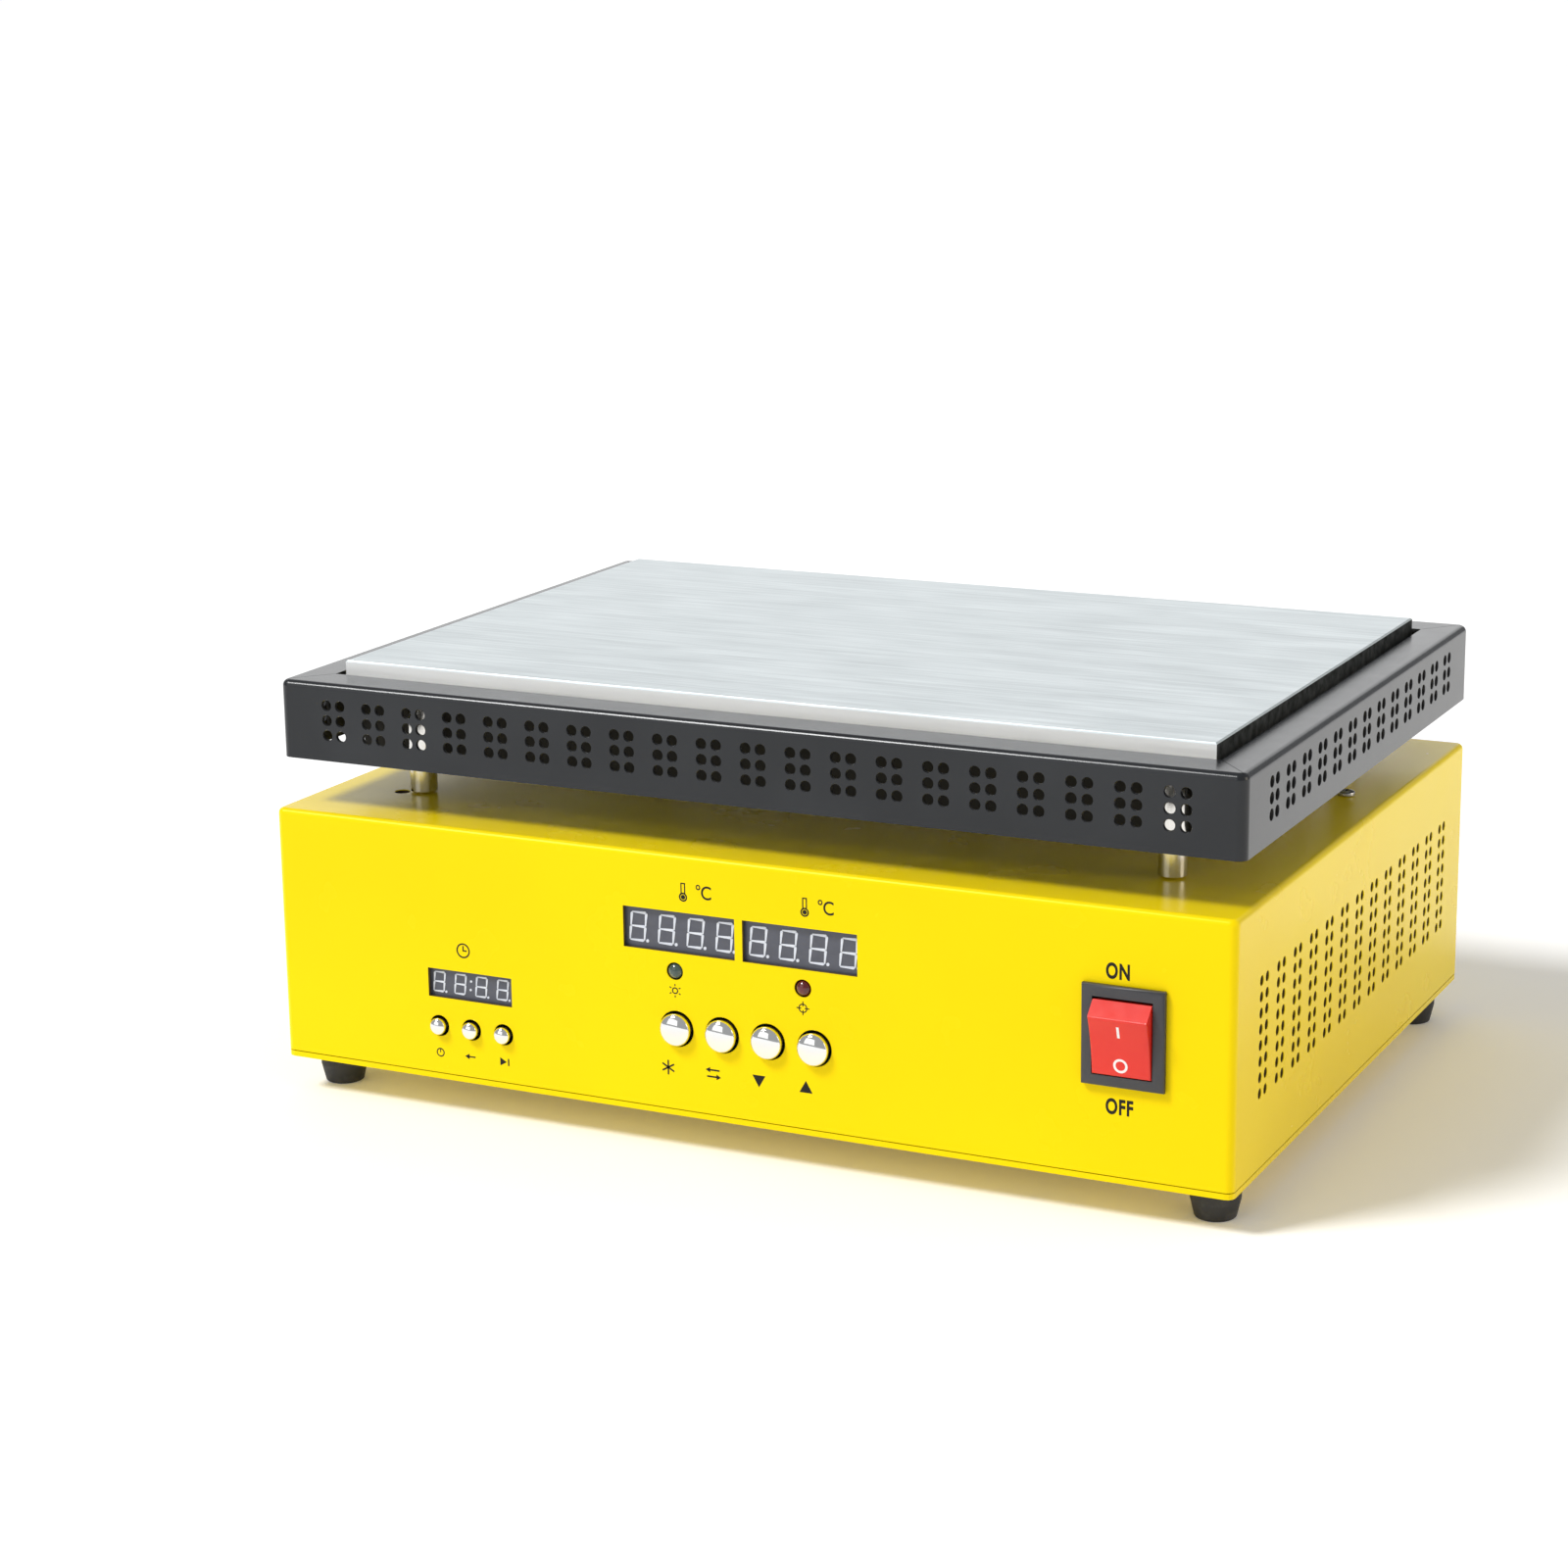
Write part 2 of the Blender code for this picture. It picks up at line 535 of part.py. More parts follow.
def housing_shell():
    half = HOUSING_WIDTH / 2
    mesh = bmesh.new()
    sheet_box(mesh, (-half, FRONT, SHELL_BOTTOM), (half, REAR, HOUSING_TOP),
              HOUSING_CORNER, HOUSING_BEND)
    shell = finish_object("housing_shell", mesh, YELLOW)

    mesh = bmesh.new()
    sheet_box(mesh, (-half + SHEET, PANEL_BACK, SHELL_BOTTOM + SHEET),
              (half - SHEET, REAR - SHEET, CEILING), HOUSING_CORNER - SHEET, HOUSING_BEND - SHEET)
    carve(shell, "inside", mesh)

    mesh = bmesh.new()
    add_box(mesh, (-half + SHELL_FLANGE, FRONT + SHELL_FLANGE, SHELL_BOTTOM - SHEET),
            (half - SHELL_FLANGE, REAR - SHELL_FLANGE, SHELL_BOTTOM + SHEET * 2))
    add_screw_holes(mesh, SHELL_BOTTOM - SHEET, SHELL_BOTTOM + SHEET * 2)
    carve(shell, "bottom", mesh)

    mesh = bmesh.new()
    add_board_studs(mesh, CONTROL_BOARD_X, UNDERSIDE + CONTROL_BOARD_Z, CONTROL_BOARD_WIDTH,
                    CONTROL_BOARD_HEIGHT)
    add_board_studs(mesh, TIMER_X, UNDERSIDE + TIMER_BOARD_Z, TIMER_BOARD_WIDTH,
                    TIMER_BOARD_HEIGHT)
    unite(shell, "studs", mesh)
    carve(shell, "front", front_cutouts())
    carve(shell, "top", top_cutouts())
    carve(shell, "rear", rear_cutouts())


def front_cutouts():
    mesh = bmesh.new()
    low = FRONT - SHEET
    high = PANEL_BACK + SHEET
    for x in (ACTUAL_DISPLAY_X, SET_DISPLAY_X):
        add_box(mesh, (x - DISPLAY_WIDTH / 2, low, UNDERSIDE + DISPLAY_Z - DISPLAY_HEIGHT / 2),
                (x + DISPLAY_WIDTH / 2, high, UNDERSIDE + DISPLAY_Z + DISPLAY_HEIGHT / 2))
    z = UNDERSIDE + TIMER_DISPLAY_Z
    add_box(mesh, (TIMER_X - TIMER_DISPLAY_WIDTH / 2, low, z - TIMER_DISPLAY_HEIGHT / 2),
            (TIMER_X + TIMER_DISPLAY_WIDTH / 2, high, z + TIMER_DISPLAY_HEIGHT / 2))
    for x in (STATUS_LED_X, CALIBRATION_LED_X):
        add_prism(mesh, LED_HOLE_RADIUS, low, high, ALONG_Y, (x, 0, UNDERSIDE + LED_Z), 16)
    for x in BUTTONS:
        add_prism(mesh, BUTTON_RADIUS + BUTTON_CLEARANCE, low, high, ALONG_Y,
                  (x, 0, UNDERSIDE + BUTTON_Z), 24)
    for x in TIMER_BUTTONS:
        add_prism(mesh, TIMER_BUTTON_RADIUS + TIMER_BUTTON_CLEARANCE, low, high, ALONG_Y,
                  (x, 0, UNDERSIDE + TIMER_BUTTON_Z), 16)
    z = UNDERSIDE + SWITCH_Z
    add_box(mesh, (SWITCH_X - SWITCH_BODY_WIDTH / 2 - GAP, low, z - SWITCH_BODY_HEIGHT / 2 - GAP),
            (SWITCH_X + SWITCH_BODY_WIDTH / 2 + GAP, high, z + SWITCH_BODY_HEIGHT / 2 + GAP))
    return mesh


def top_cutouts():
    mesh = bmesh.new()
    low = CEILING - SHEET
    high = HOUSING_TOP + SHEET
    upright = Matrix.Identity(4)
    for x, y in POSTS:
        add_prism(mesh, POST_SCREW_RADIUS + GAP, low, high, upright, (x, y, 0), 12)
    add_prism(mesh, SPARE_HOLE_RADIUS, low, high, upright,
              (-POST_X - SPARE_HOLE_OFFSET, PLATE_Y - POST_Y - SPARE_HOLE_OFFSET / 2, 0), 16)
    add_prism(mesh, GROMMET_HOLE_RADIUS, low, high, upright, (0, GROMMET_Y, 0), 24)
    add_prism(mesh, EARTH_SCREW_RADIUS + GAP, low, high, upright,
              (EARTH_SCREW_X, PLATE_Y + EARTH_SCREW_Y, 0), 12)
    return mesh


def rear_cutouts():
    mesh = bmesh.new()
    low = REAR - SHEET * 2
    high = REAR + SHEET
    z = UNDERSIDE + INLET_Z
    add_box(mesh, (INLET_X - INLET_BODY_WIDTH / 2 - GAP, low, z - INLET_BODY_HEIGHT / 2 - GAP),
            (INLET_X + INLET_BODY_WIDTH / 2 + GAP, high, z + INLET_BODY_HEIGHT / 2 + GAP))
    return mesh


def base_plate():
    half = HOUSING_WIDTH / 2
    mesh = bmesh.new()
    sheet_box(mesh, (-half, FRONT, UNDERSIDE), (half, REAR, BASE_TOP), HOUSING_CORNER, 0)
    plate = finish_object("base_plate", mesh, YELLOW)
    mesh = bmesh.new()
    add_screw_holes(mesh, UNDERSIDE - SHEET, BASE_TOP + SHEET)
    carve(plate, "holes", mesh)

    past = POWER_BOARD_RISE + GAP * 2 + BOARD_THICKNESS
    profile = [(0, -STUD_ROOT), (SUPPORT_RADIUS, -STUD_ROOT), (SUPPORT_RADIUS, POWER_BOARD_RISE + GAP),
               (STUD_PIN_RADIUS, POWER_BOARD_RISE + GAP), (STUD_PIN_RADIUS, past + GAP),
               (STUD_NUT_RADIUS, past + GAP), (STUD_NUT_RADIUS, past + GAP + STUD_NUT_HEIGHT),
               (0, past + GAP + STUD_NUT_HEIGHT)]
    mesh = bmesh.new()
    for x, y in POWER_BOARD_HOLES:
        add_turned(mesh, profile, Matrix.Translation((x, y, BASE_TOP)), 6)
    unite(plate, "supports", mesh)


def screw_set(name, places, seat, profile):
    for corner, (x, y) in zip(CORNER_NAMES, places):
        turned_object(f"{name}_{corner}", profile, (x, y, seat), STEEL, steps=8)


def base_screws():
    screw_set("base_screw", BASE_SCREWS, UNDERSIDE - GAP,
              screw_profile(BASE_SCREW_RADIUS, BASE_SCREW_LENGTH, BASE_SCREW_HEAD,
                            BASE_SCREW_HEAD_HEIGHT))


def feet():
    bore = FOOT_SCREW_RADIUS + GAP
    top = FOOT_HEIGHT - GAP
    profile = [(bore, top), (bore, FOOT_SCREW_RECESS_DEPTH),
               (FOOT_SCREW_RECESS, FOOT_SCREW_RECESS_DEPTH), (FOOT_SCREW_RECESS, 0),
               (FOOT_SOLE_RADIUS, 0), (FOOT_SOLE_RADIUS + FOOT_SOLE_EDGE, FOOT_SOLE_EDGE),
               (FOOT_RADIUS, top - FOOT_STRAIGHT), (FOOT_RADIUS, top), (bore, top)]
    for corner, (x, y) in zip(CORNER_NAMES, FEET):
        turned_object(f"foot_{corner}", profile, (x, y, 0), RUBBER, steps=16)
    seat = FOOT_SCREW_RECESS_DEPTH - GAP
    screw_set("foot_screw", FEET, seat,
              screw_profile(FOOT_SCREW_RADIUS, BASE_TOP + FOOT_SCREW_PAST - seat,
                            FOOT_SCREW_RECESS - GAP * 2, SCREW_HEAD_HEIGHT))


def earth_screw():
    place = Vector((EARTH_SCREW_X, PLATE_Y + EARTH_SCREW_Y, HOUSING_TOP + GAP))
    profile = screw_profile(EARTH_SCREW_RADIUS, EARTH_SCREW_LENGTH, EARTH_HEAD_RADIUS, EARTH_HEAD_HEIGHT)
    turned_object("earth_screw", profile, place, STEEL, Matrix.Rotation(math.pi, 4, "X"), 12)


# Hot plate

def heater_plate():
    half = PLATE_WIDTH / 2
    mesh = bmesh.new()
    add_box(mesh, (-half, PLATE_Y - PLATE_DEPTH / 2, PLATE_BOTTOM), (half, PLATE_REAR, PLATE_TOP))
    bevel_edges(mesh, edges_at_height(mesh, PLATE_TOP), PLATE_CHAMFER, 1)
    plate = finish_object("heater_plate", mesh, ALUMINIUM, smooth_angle=20)

    mesh = bmesh.new()
    depth = CARTRIDGE_LENGTH - CARTRIDGE_STICK_OUT + GAP
    for x in (-CARTRIDGE_PITCH, 0.0, CARTRIDGE_PITCH):
        add_prism(mesh, CARTRIDGE_RADIUS + GAP, PLATE_REAR - depth, PLATE_REAR + SHEET, ALONG_Y,
                  (x, 0, HEATER_Z), 16)
    add_prism(mesh, PROBE_RADIUS + GAP, PLATE_REAR - PROBE_LENGTH, PLATE_REAR + SHEET, ALONG_Y,
              (PROBE_X, 0, PROBE_Z), 12)
    for x, y in POSTS:
        add_prism(mesh, POST_SCREW_RADIUS + GAP, PLATE_BOTTOM - SHEET,
                  PLATE_BOTTOM + POST_SCREW_DEPTH + GAP, Matrix.Identity(4), (x, y, 0), 12)
    carve(plate, "bores", mesh)


def heaters():
    profile = [(0, 0), (CARTRIDGE_RADIUS - CARTRIDGE_CHAMFER, 0), (CARTRIDGE_RADIUS, CARTRIDGE_CHAMFER),
               (CARTRIDGE_RADIUS, CARTRIDGE_LENGTH), (0, CARTRIDGE_LENGTH)]
    start = PLATE_REAR + CARTRIDGE_STICK_OUT - CARTRIDGE_LENGTH
    names = ("heater_cartridge_left", "heater_cartridge_middle", "heater_cartridge_right")
    for name, x in zip(names, (-CARTRIDGE_PITCH, 0.0, CARTRIDGE_PITCH)):
        turned_object(name, profile, (x, start, HEATER_Z), STEEL, ALONG_Y, 16)
    length = PROBE_LENGTH - GAP + PROBE_STICK_OUT
    profile = [(0, 0), (PROBE_RADIUS, 0), (PROBE_RADIUS, length), (0, length)]
    turned_object("thermocouple_probe", profile, (PROBE_X, PLATE_REAR - PROBE_LENGTH + GAP, PROBE_Z),
                  STEEL, ALONG_Y, 12)


def guard_frame():
    half_x = GUARD_WIDTH / 2
    half_y = GUARD_DEPTH / 2
    mesh = bmesh.new()
    sheet_box(mesh, (-half_x, PLATE_Y - half_y, GUARD_BOTTOM), (half_x, PLATE_Y + half_y, GUARD_TOP),
              GUARD_CORNER, GUARD_BEND)
    frame = finish_object("guard_frame", mesh, CHARCOAL)

    mesh = bmesh.new()
    inner_x = half_x - SHEET
    inner_y = half_y - SHEET
    sheet_box(mesh, (-inner_x, PLATE_Y - inner_y, GUARD_BOTTOM - SHEET),
              (inner_x, PLATE_Y + inner_y, GUARD_TOP - SHEET), GUARD_CORNER - SHEET,
              GUARD_BEND - SHEET)
    carve(frame, "inside", mesh)

    mesh = bmesh.new()
    open_x = PLATE_WIDTH / 2 + GUARD_PLATE_GAP
    open_y = PLATE_DEPTH / 2 + GUARD_PLATE_GAP
    add_box(mesh, (-open_x, PLATE_Y - open_y, GUARD_TOP - SHEET * 2),
            (open_x, PLATE_Y + open_y, GUARD_TOP + SHEET))
    carve(frame, "opening", mesh)

    mesh = bmesh.new()
    add_hole_rows(mesh, hole_columns(GUARD_WIDTH), half_y + SHEET, ALONG_Y,
                  lambda column, z: (column, PLATE_Y, z))
    carve(frame, "front_holes", mesh)
    mesh = bmesh.new()
    add_hole_rows(mesh, hole_columns(GUARD_DEPTH), half_x + SHEET, ALONG_X,
                  lambda column, z: (0, PLATE_Y + column, z))
    carve(frame, "side_holes", mesh)


def guard_rails():
    half = GUARD_WIDTH / 2 - SHEET - GAP
    low = RAIL_TOP - RAIL_TAB
    outline = [(-half, RAIL_TOP), (half, RAIL_TOP), (half, low), (half - RAIL_THICKNESS, low),
               (half - RAIL_THICKNESS, RAIL_BOTTOM), (-half + RAIL_THICKNESS, RAIL_BOTTOM),
               (-half + RAIL_THICKNESS, low), (-half, low)]
    for name, side in (("guard_rail_front", -1), ("guard_rail_rear", 1)):
        y = PLATE_Y + side * POST_Y
        mesh = bmesh.new()
        add_outline(mesh, outline, RAIL_WIDTH, Matrix.Translation((0, y, 0)) @ FACING_FRONT)
        rail = finish_object(name, mesh, CHARCOAL)
        if side < 0:
            # An angle: the leg behind the posts stiffens the rail and screens the hot underside.
            rear = y + RAIL_WIDTH / 2
            mesh = bmesh.new()
            add_box(mesh, (-half + RAIL_LEG_INSET, rear - RAIL_THICKNESS, RAIL_BOTTOM - RAIL_LEG),
                    (half - RAIL_LEG_INSET, rear, RAIL_BOTTOM + RAIL_THICKNESS / 2))
            unite(rail, "leg", mesh)
        mesh = bmesh.new()
        for x in (-POST_X, POST_X):
            add_prism(mesh, POST_SCREW_RADIUS + GAP, RAIL_BOTTOM - SHEET, RAIL_TOP + GAP / 2,
                      Matrix.Identity(4), (x, y, 0), 12)
        carve(rail, "holes", mesh)


def posts():
    length = POST_TOP - POST_BOTTOM
    inner = POST_RADIUS - POST_CHAMFER
    profile = [(POST_BORE, 0), (inner, 0), (POST_RADIUS, POST_CHAMFER),
               (POST_RADIUS, length - POST_CHAMFER), (inner, length), (POST_BORE, length),
               (POST_BORE, 0)]
    for corner, (x, y) in zip(CORNER_NAMES, POSTS):
        turned_object(f"post_{corner}", profile, (x, y, POST_BOTTOM), CHROME, steps=16)
    seat = CEILING - GAP
    screw_set("post_screw", POSTS, seat,
              screw_profile(POST_SCREW_RADIUS, PLATE_BOTTOM + POST_SCREW_DEPTH - seat,
                            SCREW_HEAD_RADIUS, SCREW_HEAD_HEIGHT))


def cable_grommet():
    groove = GROMMET_HOLE_RADIUS - GAP
    lip = GROMMET_HOLE_RADIUS + GROMMET_LIP
    top = HOUSING_TOP + GAP
    bottom = CEILING - GAP
    profile = [(GROMMET_BORE_RADIUS, bottom - GROMMET_LIP), (lip, bottom - GROMMET_LIP),
               (lip, bottom), (groove, bottom), (groove, top), (lip, top),
               (lip - GROMMET_CHAMFER, top + GROMMET_LIP), (GROMMET_BORE_RADIUS, top + GROMMET_LIP),
               (GROMMET_BORE_RADIUS, bottom - GROMMET_LIP)]
    turned_object("cable_grommet", profile, (0, GROMMET_Y, 0), RUBBER, steps=16)


def heater_cables():
    block_top = POWER_BOARD_TOP + GAP + TERMINAL_BLOCK_SIZE.z + GAP
    exit_y = PLATE_REAR + CARTRIDGE_STICK_OUT + GAP
    lanes = (("left", -1, -3.6, -1.4), ("middle", 0, 0, 3.9), ("right", 1, 3.6, -1.4))
    for side, place, lane_x, lane_y in lanes:
        x = place * CARTRIDGE_PITCH
        through = Vector((lane_x * MM, GROMMET_Y + lane_y * MM, 0))
        cable(f"heater_lead_{side}", [
            (x, exit_y, HEATER_Z - LEAD_DROP),
            (x, exit_y + 3.5 * MM, HEATER_Z - LEAD_DROP),
            (x, exit_y + 8.5 * MM, HEATER_Z - 5.5 * MM),
            (x, exit_y + 8.5 * MM, HEATER_Z - 12 * MM),
            (x, exit_y + 1 * MM, HEATER_Z - 16.5 * MM),
            (x * 0.97, exit_y - 8 * MM, HEATER_Z - 17.5 * MM),
            (x * 0.72 + through.x * 0.3, PLATE_REAR - 22 * MM, HEATER_Z - 18 * MM),
            (x * 0.32 + through.x * 0.7, through.y + 18 * MM, HEATER_Z - 19 * MM),
            (through.x + x * 0.045, through.y + 3 * MM, HOUSING_TOP + 14 * MM),
            (through.x, through.y, HOUSING_TOP + 5 * MM),
            (through.x, through.y, CEILING - 6 * MM),
            (lane_x * 2 * MM, through.y, (CEILING + block_top) / 2),
            (lane_x * 2 * MM, through.y, block_top)], LEAD_DIAMETER, 2, SLEEVE)

    start = PLATE_REAR + PROBE_STICK_OUT + GAP
    probe_block = Vector((PROBE_BLOCK_X, GROMMET_Y, block_top))
    through = Vector((0, GROMMET_Y - 4.6 * MM, 0))
    cable("thermocouple_cable", [
        (PROBE_X, start, PROBE_Z),
        (PROBE_X, start + 2.5 * MM, PROBE_Z),
        (PROBE_X, start + 5 * MM, PROBE_Z - 5 * MM),
        (PROBE_X, start + 2.5 * MM, PROBE_Z - 10 * MM),
        (PROBE_X, start - 8 * MM, PROBE_Z - 11.6 * MM),
        (PROBE_X - 4 * MM, PLATE_REAR - 24 * MM, HEATER_Z - 13 * MM),
        (PROBE_X - 12 * MM, GROMMET_Y + 6 * MM, HEATER_Z - 13 * MM),
        (18 * MM, through.y - 9 * MM, HEATER_Z - 15 * MM),
        (1 * MM, through.y - 3 * MM, HOUSING_TOP + 14 * MM),
        (through.x, through.y, HOUSING_TOP + 5 * MM),
        (through.x, through.y, CEILING - 6 * MM),
        (-14 * MM, through.y - 4 * MM, CEILING - 16 * MM),
        (-34 * MM, probe_block.y - 2 * MM, CEILING - 22 * MM),
        (probe_block.x, probe_block.y, CEILING - 34 * MM),
        (probe_block.x, probe_block.y, probe_block.z)],
        PROBE_CABLE_DIAMETER, 2, SLEEVE)


# Boards behind the front panel

def block(name, low, high, finish):
    mesh = bmesh.new()
    add_box(mesh, low, high)
    return finish_object(name, mesh, finish)


def stud_places(x, z, width, height):
    return [(x + stud_x, z + stud_z)
            for stud_x, stud_z in corners(width / 2 - STUD_INSET, height / 2 - STUD_INSET)]


def add_board_studs(mesh, x, z, width, height):
    """Studs welded to the panel, each with the nut that holds the board."""
    length = BOARD_FACE - GAP - PANEL_BACK
    past = length + GAP * 2 + BOARD_THICKNESS
    profile = [(0, -STUD_ROOT), (STUD_RADIUS, -STUD_ROOT), (STUD_RADIUS, length),
               (STUD_PIN_RADIUS, length), (STUD_PIN_RADIUS, past), (STUD_NUT_RADIUS, past),
               (STUD_NUT_RADIUS, past + STUD_NUT_HEIGHT), (0, past + STUD_NUT_HEIGHT)]
    for stud_x, stud_z in stud_places(x, z, width, height):
        add_turned(mesh, profile, Matrix.Translation((stud_x, PANEL_BACK, stud_z)) @ ALONG_Y, 6)


def front_board(name, x, z, width, height, switches, switch_size, bore_radius):
    """A board with its push switches soldered to the side that faces the panel."""
    board = block(name, (x - width / 2, BOARD_FACE, z - height / 2),
                  (x + width / 2, BOARD_FACE + BOARD_THICKNESS, z + height / 2), CIRCUIT_BOARD)
    mesh = bmesh.new()
    top = BOARD_FACE - TACT_HEIGHT
    for switch_x, switch_z in switches:
        add_box(mesh, (switch_x - switch_size / 2, top, switch_z - switch_size / 2),
                (switch_x + switch_size / 2, BOARD_FACE + GAP, switch_z + switch_size / 2))
    unite(board, "switches", mesh)
    mesh = bmesh.new()
    for stud_x, stud_z in stud_places(x, z, width, height):
        add_prism(mesh, STUD_PIN_RADIUS + GAP, BOARD_FACE - GAP, BOARD_FACE + BOARD_THICKNESS + GAP,
                  ALONG_Y, (stud_x, 0, stud_z), 12)
    for switch_x, switch_z in switches:
        add_prism(mesh, bore_radius, top - GAP, top + TACT_BORE_DEPTH, ALONG_Y,
                  (switch_x, 0, switch_z), 12)
    carve(board, "holes", mesh)


def display(name, x, z, width, height):
    face = PANEL_BACK + DISPLAY_RECESS
    block(name, (x - width / 2 - DISPLAY_EDGE, face, z - height / 2 - DISPLAY_EDGE),
          (x + width / 2 + DISPLAY_EDGE, face + DISPLAY_DEPTH, z + height / 2 + DISPLAY_EDGE),
          DISPLAY_FACE)


def led(name, x, finish):
    back = BOARD_FACE - GAP
    length = back - FRONT
    flange = LED_RADIUS + LED_FLANGE
    profile = [(0, 0), (flange, 0), (flange, LED_FLANGE_HEIGHT), (LED_RADIUS, LED_FLANGE_HEIGHT),
               (LED_RADIUS, length - LED_TIP), (LED_RADIUS * 0.85, length + LED_TIP * 0.2),
               (LED_RADIUS * 0.5, length + LED_TIP * 0.75), (0, length + LED_TIP)]
    turned_object(name, profile, (x, back, UNDERSIDE + LED_Z), finish, FACING_FRONT, 16)


def dome_button(name, x, z, radius, proud, dome, stem_radius, steps):
    """A domed metal cap and its stem; it slides back along +Y into the switch behind it."""
    apex = -proud
    skirt = SHEET + BUTTON_SKIRT
    stem = BOARD_FACE - TACT_HEIGHT - FRONT + TACT_STEM_REACH
    profile = [(0, apex)]
    arcs = 4
    for step in range(1, arcs + 1):
        angle = math.radians(90) * step / arcs
        profile.append((radius * math.sin(angle), apex + dome * (1 - math.cos(angle))))
    profile += [(radius, skirt), (stem_radius, skirt), (stem_radius, stem), (0, stem)]
    turned_object(name, profile, (x, FRONT, z), CHROME, ALONG_Y, steps)


def control_panel():
    front_board("control_board", CONTROL_BOARD_X, UNDERSIDE + CONTROL_BOARD_Z, CONTROL_BOARD_WIDTH,
                CONTROL_BOARD_HEIGHT, [(x, UNDERSIDE + BUTTON_Z) for x in BUTTONS], TACT_SIZE,
                TACT_BORE_RADIUS)
    display_z = UNDERSIDE + DISPLAY_Z
    display("actual_display", ACTUAL_DISPLAY_X, display_z, DISPLAY_WIDTH, DISPLAY_HEIGHT)
    display("setpoint_display", SET_DISPLAY_X, display_z, DISPLAY_WIDTH, DISPLAY_HEIGHT)
    led("status_led", STATUS_LED_X, GREEN_LENS)
    led("calibration_led", CALIBRATION_LED_X, RED_LENS)
    names = ("button_mode", "button_shift", "button_down", "button_up")
    for name, x in zip(names, BUTTONS):
        dome_button(name, x, UNDERSIDE + BUTTON_Z, BUTTON_RADIUS, BUTTON_PROUD, BUTTON_DOME,
                    TACT_BORE_RADIUS - GAP, 16)


def timer_panel():
    front_board("timer_board", TIMER_X, UNDERSIDE + TIMER_BOARD_Z, TIMER_BOARD_WIDTH,
                TIMER_BOARD_HEIGHT, [(x, UNDERSIDE + TIMER_BUTTON_Z) for x in TIMER_BUTTONS],
                TIMER_TACT_SIZE, TIMER_TACT_BORE_RADIUS)
    display("timer_display", TIMER_X, UNDERSIDE + TIMER_DISPLAY_Z, TIMER_DISPLAY_WIDTH,
            TIMER_DISPLAY_HEIGHT)
    names = ("timer_button_set", "timer_button_reset", "timer_button_start")
    for name, x in zip(names, TIMER_BUTTONS):
        dome_button(name, x, UNDERSIDE + TIMER_BUTTON_Z, TIMER_BUTTON_RADIUS, TIMER_BUTTON_PROUD,
                    TIMER_BUTTON_DOME, TIMER_TACT_BORE_RADIUS - GAP, 12)


# Mains switch

def switch_body():
    x, pivot_y, z = ROCKER_PIVOT
    front = BEZEL_FRONT
    mesh = bmesh.new()
    add_box(mesh, (x - BEZEL_WIDTH / 2, front, z - BEZEL_HEIGHT / 2),
            (x + BEZEL_WIDTH / 2, front + BEZEL_PROUD, z + BEZEL_HEIGHT / 2))
    edges = [edge for edge in mesh.edges if all(abs(vert.co.y - front) < GAP for vert in edge.verts)]
    bevel_edges(mesh, edges, BEZEL_BEVEL, 2)
    body = finish_object("switch_body", mesh, DARK_PLASTIC)
    mesh = bmesh.new()
    add_box(mesh, (x - SWITCH_BODY_WIDTH / 2, front + BEZEL_PROUD / 2, z - SWITCH_BODY_HEIGHT / 2),
            (x + SWITCH_BODY_WIDTH / 2, front + SWITCH_BODY_DEPTH, z + SWITCH_BODY_HEIGHT / 2))
    unite(body, "case", mesh)

    half = SWITCH_OPENING_HEIGHT / 2
    inner = SWITCH_CAVITY_HEIGHT / 2
    lip = front + BEZEL_LIP
    flare = front + BEZEL_PROUD + GAP
    floor = front + SWITCH_CAVITY_DEPTH
    outline = [(front - SHEET, half), (lip, half), (flare, inner), (floor, inner),
               (floor, -inner), (flare, -inner), (lip, -half), (front - SHEET, -half)]
    mesh = bmesh.new()
    add_outline(mesh, outline, SWITCH_OPENING_WIDTH, switch_section(x, z))
    carve(body, "cavity", mesh)
    mesh = bmesh.new()
    add_prism(mesh, ROCKER_TRUNNION_RADIUS + GAP, -SWITCH_BODY_WIDTH, SWITCH_BODY_WIDTH, ALONG_X,
              (x, pivot_y, z), 12)
    carve(body, "pivot", mesh)

    back = front + SWITCH_BODY_DEPTH
    mesh = bmesh.new()
    for side_x, side_z in corners(TERMINAL_X, TERMINAL_Z):
        add_box(mesh, (x + side_x - TERMINAL_WIDTH / 2, back - GAP,
                       z + side_z - TERMINAL_THICKNESS / 2),
                (x + side_x + TERMINAL_WIDTH / 2, back + TERMINAL_LENGTH,
                 z + side_z + TERMINAL_THICKNESS / 2))
    unite(body, "terminals", mesh)


def switch_section(x, z):
    """Takes an outline in (depth, height) to the upright plane across the switch."""
    return Matrix(((0, 0, 1, x), (1, 0, 0, 0), (0, 1, 0, z), (0, 0, 0, 1)))


